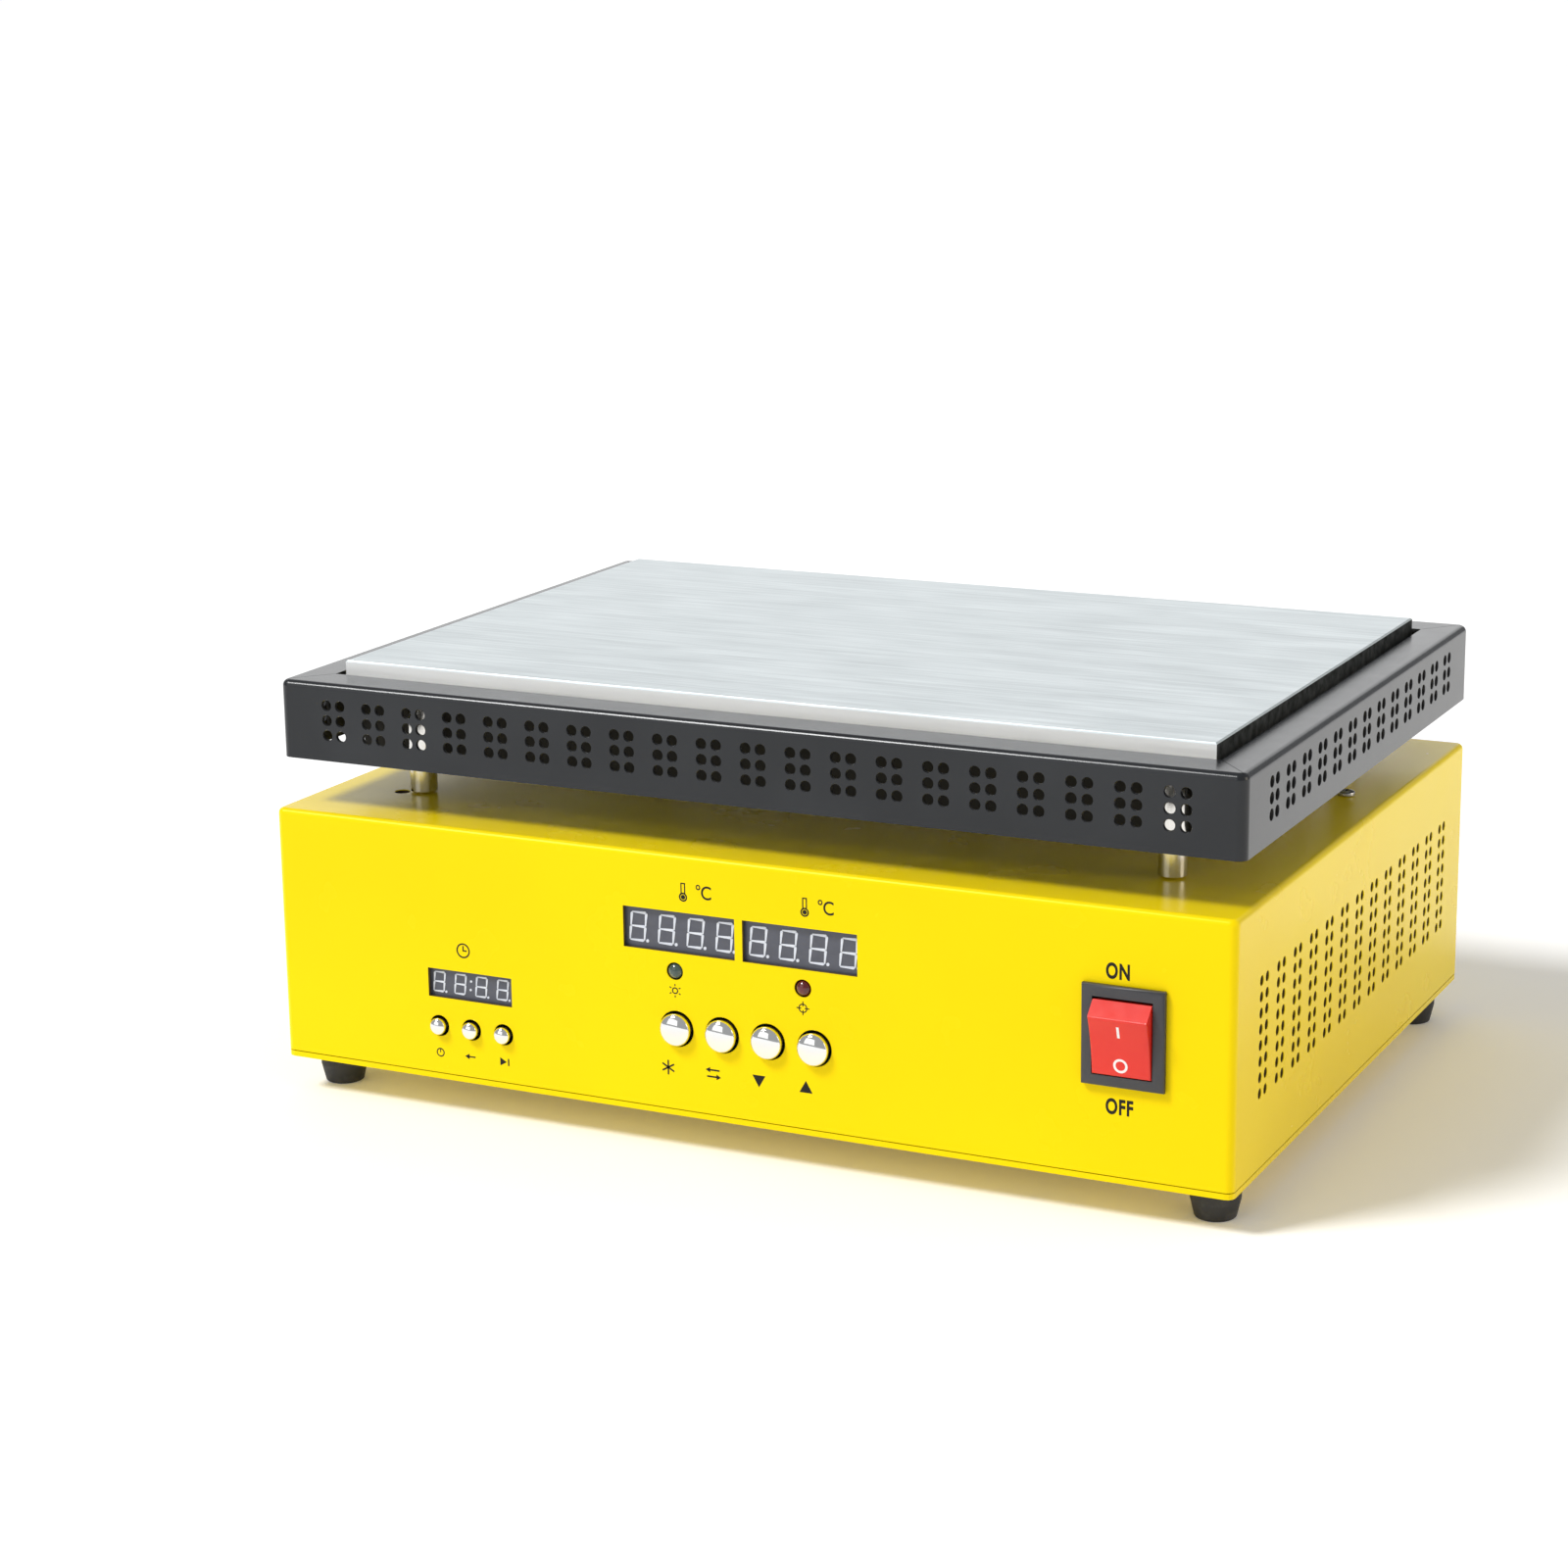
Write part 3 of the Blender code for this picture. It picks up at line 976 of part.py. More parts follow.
def rocker():
    x, pivot_y, z = ROCKER_PIVOT
    ridge_y = -ROCKER_RADIUS * math.cos(ROCKER_RIDGE_ANGLE)
    ridge_z = ROCKER_RADIUS * math.sin(ROCKER_RIDGE_ANGLE)
    outline = []
    arcs = 8
    for step in range(arcs + 1):
        share = step / arcs * 2 - 1
        outline.append((ridge_y + ROCKER_HOLLOW * (1 - share * share), ridge_z * share))
    side = [Vector((-ROCKER_SKIRT_Y, ROCKER_SKIRT_Z)), ROCKER_SHOULDER, ROCKER_BACK]
    outline += [(point.x, point.y) for point in side]
    outline += [(point.x, -point.y) for point in reversed(side)]
    width = SWITCH_OPENING_WIDTH - 2 * GAP
    mesh = bmesh.new()
    add_outline(mesh, outline, width, switch_section(0, 0))
    edges = [edge for edge in mesh.edges if edge.calc_face_angle() > math.radians(80)
             and min(vert.co.y for vert in edge.verts) < -ROCKER_SKIRT_Y - GAP
             and abs(edge.verts[0].co.x - edge.verts[1].co.x) < GAP]
    bevel_edges(mesh, edges, ROCKER_EDGE, 2)
    body = finish_object("rocker", mesh, RED_PLASTIC)
    mesh = bmesh.new()
    reach = SWITCH_BODY_WIDTH / 2 - GAP
    add_prism(mesh, ROCKER_TRUNNION_RADIUS, -reach, reach, ALONG_X, (0, 0, 0), 12)
    for thing in (body, unite(body, "trunnions", mesh)):
        thing.location = ROCKER_PIVOT
        thing.rotation_euler.x = ROCKER_TILT


# Power inlet

def power_inlet():
    z = UNDERSIDE + INLET_Z
    outer = REAR + GAP + INLET_FLANGE
    inner = outer - INLET_BODY_DEPTH
    mesh = bmesh.new()
    add_box(mesh, (INLET_X - INLET_FLANGE_WIDTH / 2, REAR + GAP, z - INLET_FLANGE_HEIGHT / 2),
            (INLET_X + INLET_FLANGE_WIDTH / 2, outer, z + INLET_FLANGE_HEIGHT / 2))
    edges = [edge for edge in mesh.edges
             if abs((edge.verts[0].co - edge.verts[1].co).normalized().y) > 0.99]
    bevel_edges(mesh, edges, INLET_FLANGE_CORNER, 3)
    inlet = finish_object("power_inlet", mesh, DARK_PLASTIC)
    mesh = bmesh.new()
    add_box(mesh, (INLET_X - INLET_BODY_WIDTH / 2, inner, z - INLET_BODY_HEIGHT / 2),
            (INLET_X + INLET_BODY_WIDTH / 2, REAR + GAP * 2, z + INLET_BODY_HEIGHT / 2))
    unite(inlet, "case", mesh)
    clip_end = REAR - SHEET - GAP
    mesh = bmesh.new()
    for side in (-1, 1):
        x = INLET_X + side * INLET_BODY_WIDTH / 2
        add_box(mesh, (x - INLET_CLIP_THICKNESS, clip_end - INLET_CLIP_LENGTH, z - INLET_CLIP_WIDTH / 2),
                (x + INLET_CLIP_THICKNESS, clip_end, z + INLET_CLIP_WIDTH / 2))
    unite(inlet, "clips", mesh)

    half_x = INLET_SOCKET_WIDTH / 2
    half_z = INLET_SOCKET_HEIGHT / 2
    cut = INLET_SOCKET_CHAMFER
    outline = [(-half_x, -half_z), (half_x, -half_z), (half_x, half_z - cut),
               (half_x - cut, half_z), (-half_x + cut, half_z), (-half_x, half_z - cut)]
    floor = outer - INLET_SOCKET_DEPTH
    depth = INLET_SOCKET_DEPTH + SHEET
    mesh = bmesh.new()
    add_outline(mesh, outline, depth, Matrix.Translation((INLET_X, floor + depth / 2, z)) @ FACING_FRONT)
    carve(inlet, "socket", mesh)
    mesh = bmesh.new()
    for pin_x, pin_z in inlet_pin_places():
        add_box(mesh, (pin_x - PIN_THICKNESS / 2, inner - PIN_TAIL, pin_z - PIN_WIDTH / 2),
                (pin_x + PIN_THICKNESS / 2, floor + PIN_LENGTH, pin_z + PIN_WIDTH / 2))
    unite(inlet, "pins", mesh)


def inlet_pin_places():
    z = UNDERSIDE + INLET_Z
    return [(INLET_X - PIN_PITCH, z - PIN_OFFSET), (INLET_X, z + PIN_OFFSET),
            (INLET_X + PIN_PITCH, z - PIN_OFFSET)]


# Power board

def power_board():
    half_x = POWER_BOARD_WIDTH / 2
    half_y = POWER_BOARD_DEPTH / 2
    board = block("power_board", (-half_x, POWER_BOARD_Y - half_y, POWER_BOARD_BOTTOM),
                  (half_x, POWER_BOARD_Y + half_y, POWER_BOARD_TOP), CIRCUIT_BOARD)
    mesh = bmesh.new()
    for x in (0.0, MAINS_BLOCK_X, PROBE_BLOCK_X):
        low, high = on_board(TERMINAL_BLOCK_SIZE, x, GROMMET_Y)
        add_box(mesh, (low.x, low.y, POWER_BOARD_TOP - GAP), high)
    unite(board, "terminals", mesh)
    mesh = bmesh.new()
    for x, y in POWER_BOARD_HOLES:
        add_prism(mesh, STUD_PIN_RADIUS + GAP, POWER_BOARD_BOTTOM - GAP, POWER_BOARD_TOP + GAP,
                  Matrix.Identity(4), (x, y, 0), 12)
    carve(board, "holes", mesh)


def on_board(size, place_x, place_y):
    low = Vector((place_x - size.x / 2, place_y - size.y / 2, POWER_BOARD_TOP + GAP))
    return low, low + size


def transformer():
    low, high = on_board(TRANSFORMER_SIZE, TRANSFORMER_X, POWER_BOARD_Y + TRANSFORMER_Y)
    mesh = bmesh.new()
    add_box(mesh, low, high)
    sides = [face for face in mesh.faces if abs(face.normal.y) > 0.9]
    bmesh.ops.inset_individual(mesh, faces=sides, thickness=WINDING_INSET)
    for face in sides:
        grown = bmesh.ops.extrude_discrete_faces(mesh, faces=[face])["faces"]
        bmesh.ops.translate(mesh, vec=grown[0].normal * WINDING_PROUD, verts=grown[0].verts)
    finish_object("transformer", mesh, WINDING_TAPE)


def heat_sink():
    low, high = on_board(HEAT_SINK_SIZE, HEAT_SINK_X, POWER_BOARD_Y + HEAT_SINK_Y)
    pitch = (HEAT_SINK_SIZE.x - FIN_THICKNESS) / (HEAT_SINK_FINS - 1)
    outline = [(low.x, low.y), (high.x, low.y)]
    for fin in reversed(range(HEAT_SINK_FINS)):
        left = low.x + fin * pitch
        outline += [(left + FIN_THICKNESS, high.y), (left, high.y)]
        if fin:
            outline += [(left, low.y + HEAT_SINK_BACK),
                        (left - pitch + FIN_THICKNESS, low.y + HEAT_SINK_BACK)]
    middle = (low.z + high.z) / 2
    mesh = bmesh.new()
    add_outline(mesh, outline, HEAT_SINK_SIZE.z, Matrix.Translation((0, 0, middle)))
    finish_object("heat_sink", mesh, ALUMINIUM)
    y = low.y - GAP
    x = (low.x + high.x) / 2
    block("triac", (x - TRIAC_WIDTH / 2, y - TRIAC_DEPTH, low.z),
          (x + TRIAC_WIDTH / 2, y, low.z + TRIAC_HEIGHT), DARK_PLASTIC)


def mains_cables():
    """One cable from the inlet to the switch, and one from the switch to the power board."""
    x = ROCKER_PIVOT.x
    z = ROCKER_PIVOT.z
    blade_end = BEZEL_FRONT + SWITCH_BODY_DEPTH + TERMINAL_LENGTH + GAP
    pin_end = REAR + GAP + INLET_FLANGE - INLET_BODY_DEPTH - PIN_TAIL - GAP
    pin_z = UNDERSIDE + INLET_Z
    cable("mains_cable", [
        (INLET_X, pin_end, pin_z), (INLET_X, pin_end - 12 * MM, pin_z),
        (INLET_X + 14 * MM, pin_end - 60 * MM, pin_z - 17 * MM),
        (x, blade_end + 50 * MM, z - 22 * MM), (x, blade_end + 14 * MM, z - TERMINAL_Z),
        (x, blade_end, z - TERMINAL_Z)], MAINS_CABLE_DIAMETER, 4, WIRE_COVER)
    block_top = POWER_BOARD_TOP + GAP + TERMINAL_BLOCK_SIZE.z + GAP
    end_x = MAINS_BLOCK_X
    cable("supply_cable", [
        (x, blade_end, z + TERMINAL_Z), (x, blade_end + 14 * MM, z + TERMINAL_Z),
        (x - 14 * MM, blade_end + 60 * MM, z + 16 * MM),
        (end_x + 26 * MM, GROMMET_Y - 30 * MM, z + 14 * MM),
        (end_x + 5 * MM, GROMMET_Y - 6 * MM, z + 5 * MM),
        (end_x, GROMMET_Y, block_top + 12 * MM), (end_x, GROMMET_Y, block_top)],
        MAINS_CABLE_DIAMETER, 3, WIRE_COVER)


def control_cable():
    board_back = BOARD_FACE + BOARD_THICKNESS + GAP
    edge = POWER_BOARD_Y - POWER_BOARD_DEPTH / 2 - GAP
    z = (POWER_BOARD_BOTTOM + POWER_BOARD_TOP) / 2
    cable("control_cable", [
        (10 * MM, board_back, UNDERSIDE + CONTROL_BOARD_Z - 14 * MM),
        (10 * MM, board_back + 10 * MM, UNDERSIDE + CONTROL_BOARD_Z - 14 * MM),
        (6 * MM, (board_back + edge) / 2, z + 1 * MM),
        (2 * MM, edge - 10 * MM, z),
        (2 * MM, edge, z)], CONTROL_CABLE_DIAMETER, 4, SLEEVE)


housing_shell()
base_plate()
base_screws()
feet()
earth_screw()
heater_plate()
heaters()
guard_frame()
guard_rails()
posts()
cable_grommet()
heater_cables()
control_panel()
timer_panel()
switch_body()
rocker()
power_inlet()
power_board()
transformer()
heat_sink()
mains_cables()
control_cable()
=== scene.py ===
# %% [markdown]
# A bench heating platform: a brushed hot plate inside a dark perforated guard stands on four bright
# posts above a yellow sheet metal box with displays, push buttons and a red mains switch.
# The solids of the platform are loaded first as a fixed frame. Everything that this script makes takes
# its size and place from them, so nothing has to be fitted afterwards.

# %% Load the frame
import json
import math

import bmesh
import bpy
from mathutils import Matrix, Vector

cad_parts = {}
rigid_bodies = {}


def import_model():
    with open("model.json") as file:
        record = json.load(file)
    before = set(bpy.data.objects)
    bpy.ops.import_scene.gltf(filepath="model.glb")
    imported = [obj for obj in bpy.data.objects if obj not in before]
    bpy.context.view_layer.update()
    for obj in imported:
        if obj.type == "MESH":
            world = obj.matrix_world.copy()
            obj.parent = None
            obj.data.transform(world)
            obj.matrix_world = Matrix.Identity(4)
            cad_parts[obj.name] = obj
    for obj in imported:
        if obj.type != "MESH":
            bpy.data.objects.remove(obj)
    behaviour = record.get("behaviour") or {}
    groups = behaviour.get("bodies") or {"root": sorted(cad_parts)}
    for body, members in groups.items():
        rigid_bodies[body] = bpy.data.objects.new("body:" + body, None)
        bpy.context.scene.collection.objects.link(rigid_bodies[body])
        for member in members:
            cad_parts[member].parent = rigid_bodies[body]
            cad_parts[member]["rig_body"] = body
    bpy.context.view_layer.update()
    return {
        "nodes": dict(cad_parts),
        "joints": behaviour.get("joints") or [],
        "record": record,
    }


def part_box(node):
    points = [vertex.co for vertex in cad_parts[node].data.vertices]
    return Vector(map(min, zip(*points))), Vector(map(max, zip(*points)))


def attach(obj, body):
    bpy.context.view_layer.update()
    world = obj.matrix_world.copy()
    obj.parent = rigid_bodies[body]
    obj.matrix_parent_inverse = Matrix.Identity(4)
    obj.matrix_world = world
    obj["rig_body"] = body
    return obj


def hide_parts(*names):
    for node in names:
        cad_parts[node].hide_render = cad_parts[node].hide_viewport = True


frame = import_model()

MM = 0.001
SLOT_OF = {part["node"]: part["material_slot"] for part in frame["record"]["subparts"]}
HOUSING_LOW, HOUSING_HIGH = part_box("housing_shell")
PLATE_LOW, PLATE_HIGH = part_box("heater_plate")
GUARD_LOW, GUARD_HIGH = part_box("guard_frame")
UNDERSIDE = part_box("base_plate")[0].z
FRONT = HOUSING_LOW.y
REAR = HOUSING_HIGH.y
TOP = HOUSING_HIGH.z


def in_mm(vector):
    return [round(value / MM, 1) for value in vector]


# %% [markdown]
# The camera stands to the right of the front panel and a little above the plate, far away with a long
# lens. Its matrix is built from three unit vectors, because Euler angles hide the small roll.
# The place is measured from the middle of the plate's top, which is the plainest mark on the object.

# %% Camera
AZIMUTH = math.radians(26.44)
ELEVATION = math.radians(14.06)
ROLL = math.radians(-0.80)
FROM_PLATE = Vector((467.95, -1021.5, 231.7)) * MM
LENS = 78.74
SENSOR = 36.0

ahead = Vector((-math.sin(AZIMUTH) * math.cos(ELEVATION), math.cos(AZIMUTH) * math.cos(ELEVATION),
                -math.sin(ELEVATION)))
level = Vector((math.cos(AZIMUTH), math.sin(AZIMUTH), 0))
upward = level.cross(ahead)
right = level * math.cos(ROLL) + upward * math.sin(ROLL)
above = upward * math.cos(ROLL) - level * math.sin(ROLL)
plate_middle = Vector(((PLATE_LOW.x + PLATE_HIGH.x) / 2, (PLATE_LOW.y + PLATE_HIGH.y) / 2, PLATE_HIGH.z))

camera_data = bpy.data.cameras.new("camera")
camera_data.lens = LENS
camera_data.sensor_width = SENSOR
camera = bpy.data.objects.new("camera", camera_data)
bpy.context.scene.collection.objects.link(camera)
turn = Matrix((right, above, -ahead)).transposed().to_4x4()
camera.matrix_world = Matrix.Translation(plate_middle + FROM_PLATE) @ turn
bpy.context.scene.camera = camera
bpy.context.scene.view_settings.view_transform = "Standard"
print("camera at", in_mm(camera.matrix_world.translation))

# %% [markdown]
# Paint, brushed metal and moulded plastic differ by small changes over their surface. In Blender such
# a change is a chain of nodes. Two small classes keep the chains readable: Field wraps one output
# socket, so that sums, products and comparisons are written as in Python, and Finish owns one
# material and makes its nodes.

# %% Field of values
class Field:
    """The output of a node, which can be added, subtracted, multiplied and compared."""

    def __init__(self, finish, socket):
        self.finish = finish
        self.socket = socket

    def combined(self, operation, first, second):
        return self.finish.node("Math", {"operation": operation}, {0: first, 1: second})

    def __add__(self, other):
        return self.combined("ADD", self, other)

    def __sub__(self, other):
        return self.combined("SUBTRACT", self, other)

    def __rsub__(self, other):
        return self.combined("SUBTRACT", other, self)

    def __mul__(self, other):
        return self.combined("MULTIPLY", self, other)

    def __gt__(self, other):
        return self.combined("GREATER_THAN", self, other)

    def __lt__(self, other):
        return self.combined("LESS_THAN", self, other)

    __radd__ = __add__
    __rmul__ = __mul__


# %% [markdown]
# A finish starts as one even colour and gloss. Three changes are so common on real surfaces that they
# are methods: patches of another colour, an uneven gloss, and a grain that is felt more than seen.
# Each of them is a noise on Object coordinates, which stays put when a piece moves with its joint.

# %% Finish of a surface
class Finish:
    """A Principled material whose nodes are made one at a time."""

    def __init__(self, name, colour, roughness, metallic=0.0, coat=0.0):
        self.name = name
        self.material = bpy.data.materials.new(name)
        self.material.use_nodes = True
        self.shader = self.material.node_tree.nodes["Principled BSDF"]
        self.colour = (*colour, 1)
        for socket, value in (("Base Color", self.colour), ("Roughness", roughness),
                              ("Metallic", metallic), ("Coat Weight", coat), ("Coat Roughness", 0.06)):
            self.give(socket, value)

    def feed(self, socket, value):
        if isinstance(value, Field):
            self.material.node_tree.links.new(value.socket, socket)
        else:
            socket.default_value = value

    def give(self, name, value):
        """Feeds an input of the shader, by its name."""
        self.feed(self.shader.inputs[name], value)

    def node(self, kind, settings=None, sockets=None, output=0):
        made = self.material.node_tree.nodes.new("ShaderNode" + kind)
        for name, value in (settings or {}).items():
            if name == "stops":
                for element, (position, shade) in zip(made.color_ramp.elements, value):
                    element.position = position
                    element.color = (shade, shade, shade, 1)
            else:
                setattr(made, name, value)
        for name, value in (sockets or {}).items():
            self.feed(made.inputs[name], value)
        return Field(self, made.outputs[output])

    def places(self, stretch=(1, 1, 1)):
        """Object coordinates in metres; a high stretch makes a pattern fine along that axis."""
        return self.node("Mapping", {}, {"Vector": self.node("TexCoord", {}, {}, "Object"),
                                         "Scale": stretch})

    def along(self, axis):
        """One of the object coordinates, in metres."""
        return self.node("SeparateXYZ", {}, {0: self.places()}, axis)

    def noise(self, scale, detail=2.0, stretch=(1, 1, 1)):
        return self.node("TexNoise", {}, {"Vector": self.places(stretch), "Scale": scale,
                                          "Detail": detail})

    def contrast(self, field, low, high):
        """Spreads the middle of a noise, from low to high, over 0 to 1."""
        return self.node("ValToRGB", {"stops": [(low, 0.0), (high, 1.0)]}, {"Fac": field})

    def mixed(self, factor, first, other):
        return self.node("Mix", {"data_type": "RGBA"}, {0: factor, 6: first, 7: (*other, 1)}, 2)

    def paint(self, factor, other):
        """Base colour that goes from the finish's own colour to another."""
        self.give("Base Color", self.mixed(factor, self.colour, other))

    def relief(self, height, distance, strength):
        bump = self.node("Bump", {}, {"Height": height, "Distance": distance, "Strength": strength})
        self.give("Normal", bump)

    def mottled(self, scale, detail, middle, other):
        """Patches of another colour."""
        self.paint(self.contrast(self.noise(scale, detail), *middle), other)

    def uneven(self, scale, detail, change, least):
        """Roughness that wanders, by a change that is added to the least one."""
        self.give("Roughness", self.noise(scale, detail) * change + least)

    def grained(self, scale, detail, depth, strength):
        """A fine even relief."""
        self.relief(self.noise(scale, detail), depth, strength)


# %% [markdown]
# The box is powder coated. Powder coat is melted plastic, so it is glossy, but its surface keeps soft
# dimples that painters call orange peel. A fine noise in a Bump node gives the dimples, and a slow
# noise moves the colour and the gloss a little, because no sprayed coat is even. Two darker finishes
# are painted shade, for the inside of the box and the guard and the bores of small holes, where shade
# falls. The guard's dark paint is a matt base under a thin clear coat.

# %% Painted finishes
PEEL_SCALE = 650
PEEL_DEPTH = 0.03 * MM
PAINT_GRAIN_DEPTH = 0.02 * MM

yellow = Finish("yellow_powder_coat", (0.93, 0.71, 0.002), 0.27)
yellow.mottled(9, 3, (0.35, 0.75), (0.90, 0.66, 0.002))
yellow.uneven(40, 3, 0.10, 0.21)
yellow.grained(PEEL_SCALE, 2, PEEL_DEPTH, 0.35)
yellow.give("Specular IOR Level", 0.35)
yellow.give("Specular Tint", (1.0, 0.80, 0.15, 1))

# Painted shade: a dark brown yellow for the inside of the box and the bores of its holes.
painted_shade_yellow = Finish("painted_shade_inner_yellow", (0.115, 0.075, 0.012), 0.7)
painted_shade_yellow.mottled(60, 4, (0.35, 0.75), (0.075, 0.050, 0.012))
# Painted shade: a near black matt finish for the inside of the guard and its rails.
painted_shade_black = Finish("painted_shade_inner_black", (0.009, 0.009, 0.010), 0.75)
painted_shade_black.mottled(80, 4, (0.35, 0.75), (0.014, 0.013, 0.012))

charcoal = Finish("charcoal_paint", (0.012, 0.0135, 0.016), 0.42, coat=0.4)
charcoal.give("Specular IOR Level", 0.2)
charcoal.give("Coat Roughness", 0.18)
charcoal.mottled(30, 4, (0.4, 0.7), (0.017, 0.019, 0.022))
charcoal.uneven(120, 3, 0.10, 0.18)
charcoal.grained(2200, 3, PAINT_GRAIN_DEPTH, 0.5)
print("paints", yellow.name, charcoal.name)

# %% [markdown]
# The plate is aluminium that was brushed along its length on a belt. The belt leaves scratches that
# are many times longer than wide, so the noise coordinates are squeezed along X only. Two noises are
# used: a fine one scratches the surface through Bump and roughness, and a broad one gives the cloudy
# bands that a handled plate shows. The plate's milled long sides carry a painted highlight of near
# white, and its end faces carry a painted dark reflection of the guard, so each colour is kept to its
# faces by how far a point lies from the middle.

# %% Brushed plate
PLATE_METAL = (0.66, 0.715, 0.73)
SHADED_METAL = tuple(value * 0.82 for value in PLATE_METAL)
# Painted dark reflection of the guard, on the plate's end faces.
PAINTED_DARK_REFLECTION_METAL = (0.02, 0.022, 0.022)
# Painted highlight of near white, on the plate's long sides.
PAINTED_HIGHLIGHT_METAL = (0.96, 0.97, 0.98)
STREAKS_ALONG_X = (0.03, 1, 1)
CLOUDS_ALONG_X = (0.40, 1, 1)
FACE_DEPTH = 0.005 * MM
EDGE_DROP = 0.1 * MM

aluminium = Finish("milled_aluminium", PLATE_METAL, 0.34, 1.0)
scratches = aluminium.contrast(aluminium.noise(850, 6, STREAKS_ALONG_X), 0.30, 0.70)
clouds = aluminium.contrast(aluminium.noise(70, 5, CLOUDS_ALONG_X), 0.30, 0.72)
from_middle_x = aluminium.along(0) - plate_middle.x
from_middle_y = aluminium.along(1) - plate_middle.y
end_face = from_middle_x * from_middle_x > (PLATE_HIGH.x - plate_middle.x - FACE_DEPTH) ** 2
long_face = from_middle_y * from_middle_y > (PLATE_HIGH.y - plate_middle.y - FACE_DEPTH) ** 2
brushed = aluminium.mixed(clouds * 0.35 + scratches * 0.65, aluminium.colour, SHADED_METAL)
# The end faces get the painted dark reflection of the guard.
end_dark_reflection = aluminium.mixed(end_face * (aluminium.noise(300, 4) * 0.3 + 0.80), brushed, PAINTED_DARK_REFLECTION_METAL)
# The long sides get the painted highlight.
aluminium.give("Base Color", aluminium.mixed(long_face, end_dark_reflection, PAINTED_HIGHLIGHT_METAL))
edges = aluminium.along(2) < PLATE_HIGH.z - EDGE_DROP
aluminium.give("Roughness", scratches * 0.10 + clouds * 0.05 + edges * 0.36 + 0.27)
aluminium.relief(scratches, 0.02 * MM, 0.30)
print("plate in mm", in_mm(PLATE_HIGH - PLATE_LOW))

# %% [markdown]
# The other metals need less. Drawn steel is mottled, plated caps are nearly a mirror, and a turned post
# has fine rings round it and faint streaks along it. Each is a noise whose coordinates are squeezed in
# the directions in which its marks run long.

# %% Steel and chrome
STREAKS_ALONG_Z = (1, 1, 0.06)
RINGS_ROUND_Z = (0.15, 0.15, 1)

steel = Finish("bright_steel", (0.60, 0.60, 0.585), 0.28, 1.0)
steel.mottled(160, 3, (0.4, 0.7), (0.50, 0.50, 0.49))
steel.uneven(500, 3, 0.18, 0.20)

chrome = Finish("chrome", (0.86, 0.86, 0.85), 0.06, 1.0)
chrome.give("Roughness", chrome.contrast(chrome.noise(240, 4), 0.45, 0.9) * 0.10 + 0.045)

turned_steel = Finish("turned_post_steel", (0.78, 0.765, 0.73), 0.16, 1.0)
turned_steel.give("Roughness", turned_steel.noise(1400, 2, STREAKS_ALONG_Z) * 0.14 + 0.10)
turned_steel.relief(turned_steel.noise(3000, 2, RINGS_ROUND_Z), 0.01 * MM, 0.4)
print("metals", aluminium.name, steel.name, chrome.name)

# %% [markdown]
# Plastics and rubber show the skin of their mould: a fine even grain that scatters the highlight.
# Rubber feet also carry dust in patches. The lamps' lenses are clear resin, so they stay smooth, and
# their colour varies a little in soft patches. Printed marks are worn through in tiny spots.

# %% Plastic, rubber, resin and ink
rubber = Finish("black_rubber", (0.026, 0.026, 0.028), 0.75)
rubber.mottled(260, 5, (0.5, 0.8), (0.060, 0.059, 0.058))
rubber.uneven(400, 3, 0.2, 0.58)
rubber.grained(1800, 4, 0.05 * MM, 0.6)

dark_plastic = Finish("dark_plastic", (0.040, 0.040, 0.044), 0.42)
dark_plastic.mottled(90, 3, (0.4, 0.8), (0.050, 0.050, 0.055))
dark_plastic.uneven(900, 3, 0.14, 0.34)
dark_plastic.grained(3500, 2, 0.02 * MM, 0.5)

red_plastic = Finish("red_plastic", (0.74, 0.020, 0.009), 0.26, coat=0.1)
red_plastic.mottled(120, 3, (0.4, 0.8), (0.70, 0.014, 0.008))
red_plastic.uneven(300, 2, 0.10, 0.19)

display_face = Finish("display_face", (0.078, 0.082, 0.105), 0.38, coat=0.15)
display_face.mottled(300, 3, (0.4, 0.8), (0.064, 0.067, 0.086))
display_face.uneven(800, 2, 0.12, 0.32)
segment_white = Finish("segment_white", (0.70, 0.73, 0.80), 0.45)
segment_white.mottled(700, 2, (0.45, 0.8), (0.62, 0.65, 0.72))
segment_white.uneven(900, 2, 0.1, 0.38)

green_lens = Finish("green_lens", (0.030, 0.055, 0.045), 0.10, coat=0.6)
green_lens.mottled(420, 2, (0.35, 0.7), (0.07, 0.11, 0.09))
red_lens = Finish("red_lens", (0.13, 0.004, 0.006), 0.10, coat=0.6)
red_lens.mottled(420, 2, (0.35, 0.7), (0.07, 0.002, 0.003))

ink = Finish("black_ink", (0.008, 0.008, 0.006), 0.5)
ink.give("Specular IOR Level", 0.25)
ink.mottled(1500, 3, (0.5, 0.9), (0.05, 0.04, 0.006))
mark_white = Finish("mark_white", (0.86, 0.83, 0.82), 0.4)
mark_white.mottled(900, 3, (0.5, 0.9), (0.86, 0.62, 0.60))
print("plastics", rubber.name, dark_plastic.name, red_plastic.name)

# %% [markdown]
# The pieces inside the box only show through its vents, yet each has a finish of its own: copper
# tracks under green resist on the boards, woven glass fibre on the heater leads, laminations and
# yellow tape on the transformer. The weave is two crossed Wave textures, and the tracks are a Brick
# texture, whose mortar lines run straight like etched copper.

# %% Finishes inside the box
BLACK = (0, 0, 0, 1)
WHITE = (1, 1, 1, 1)

circuit_board = Finish("circuit_board", (0.016, 0.12, 0.05), 0.38, coat=0.3)
tracks = circuit_board.node("TexBrick", {"offset": 0.37}, {
    "Vector": circuit_board.places(), "Scale": 170.0, "Mortar Size": 0.035, "Color1": BLACK,
    "Color2": BLACK, "Mortar": WHITE})
circuit_board.paint(tracks, (0.05, 0.22, 0.09))
circuit_board.relief(tracks, 0.03 * MM, 0.4)

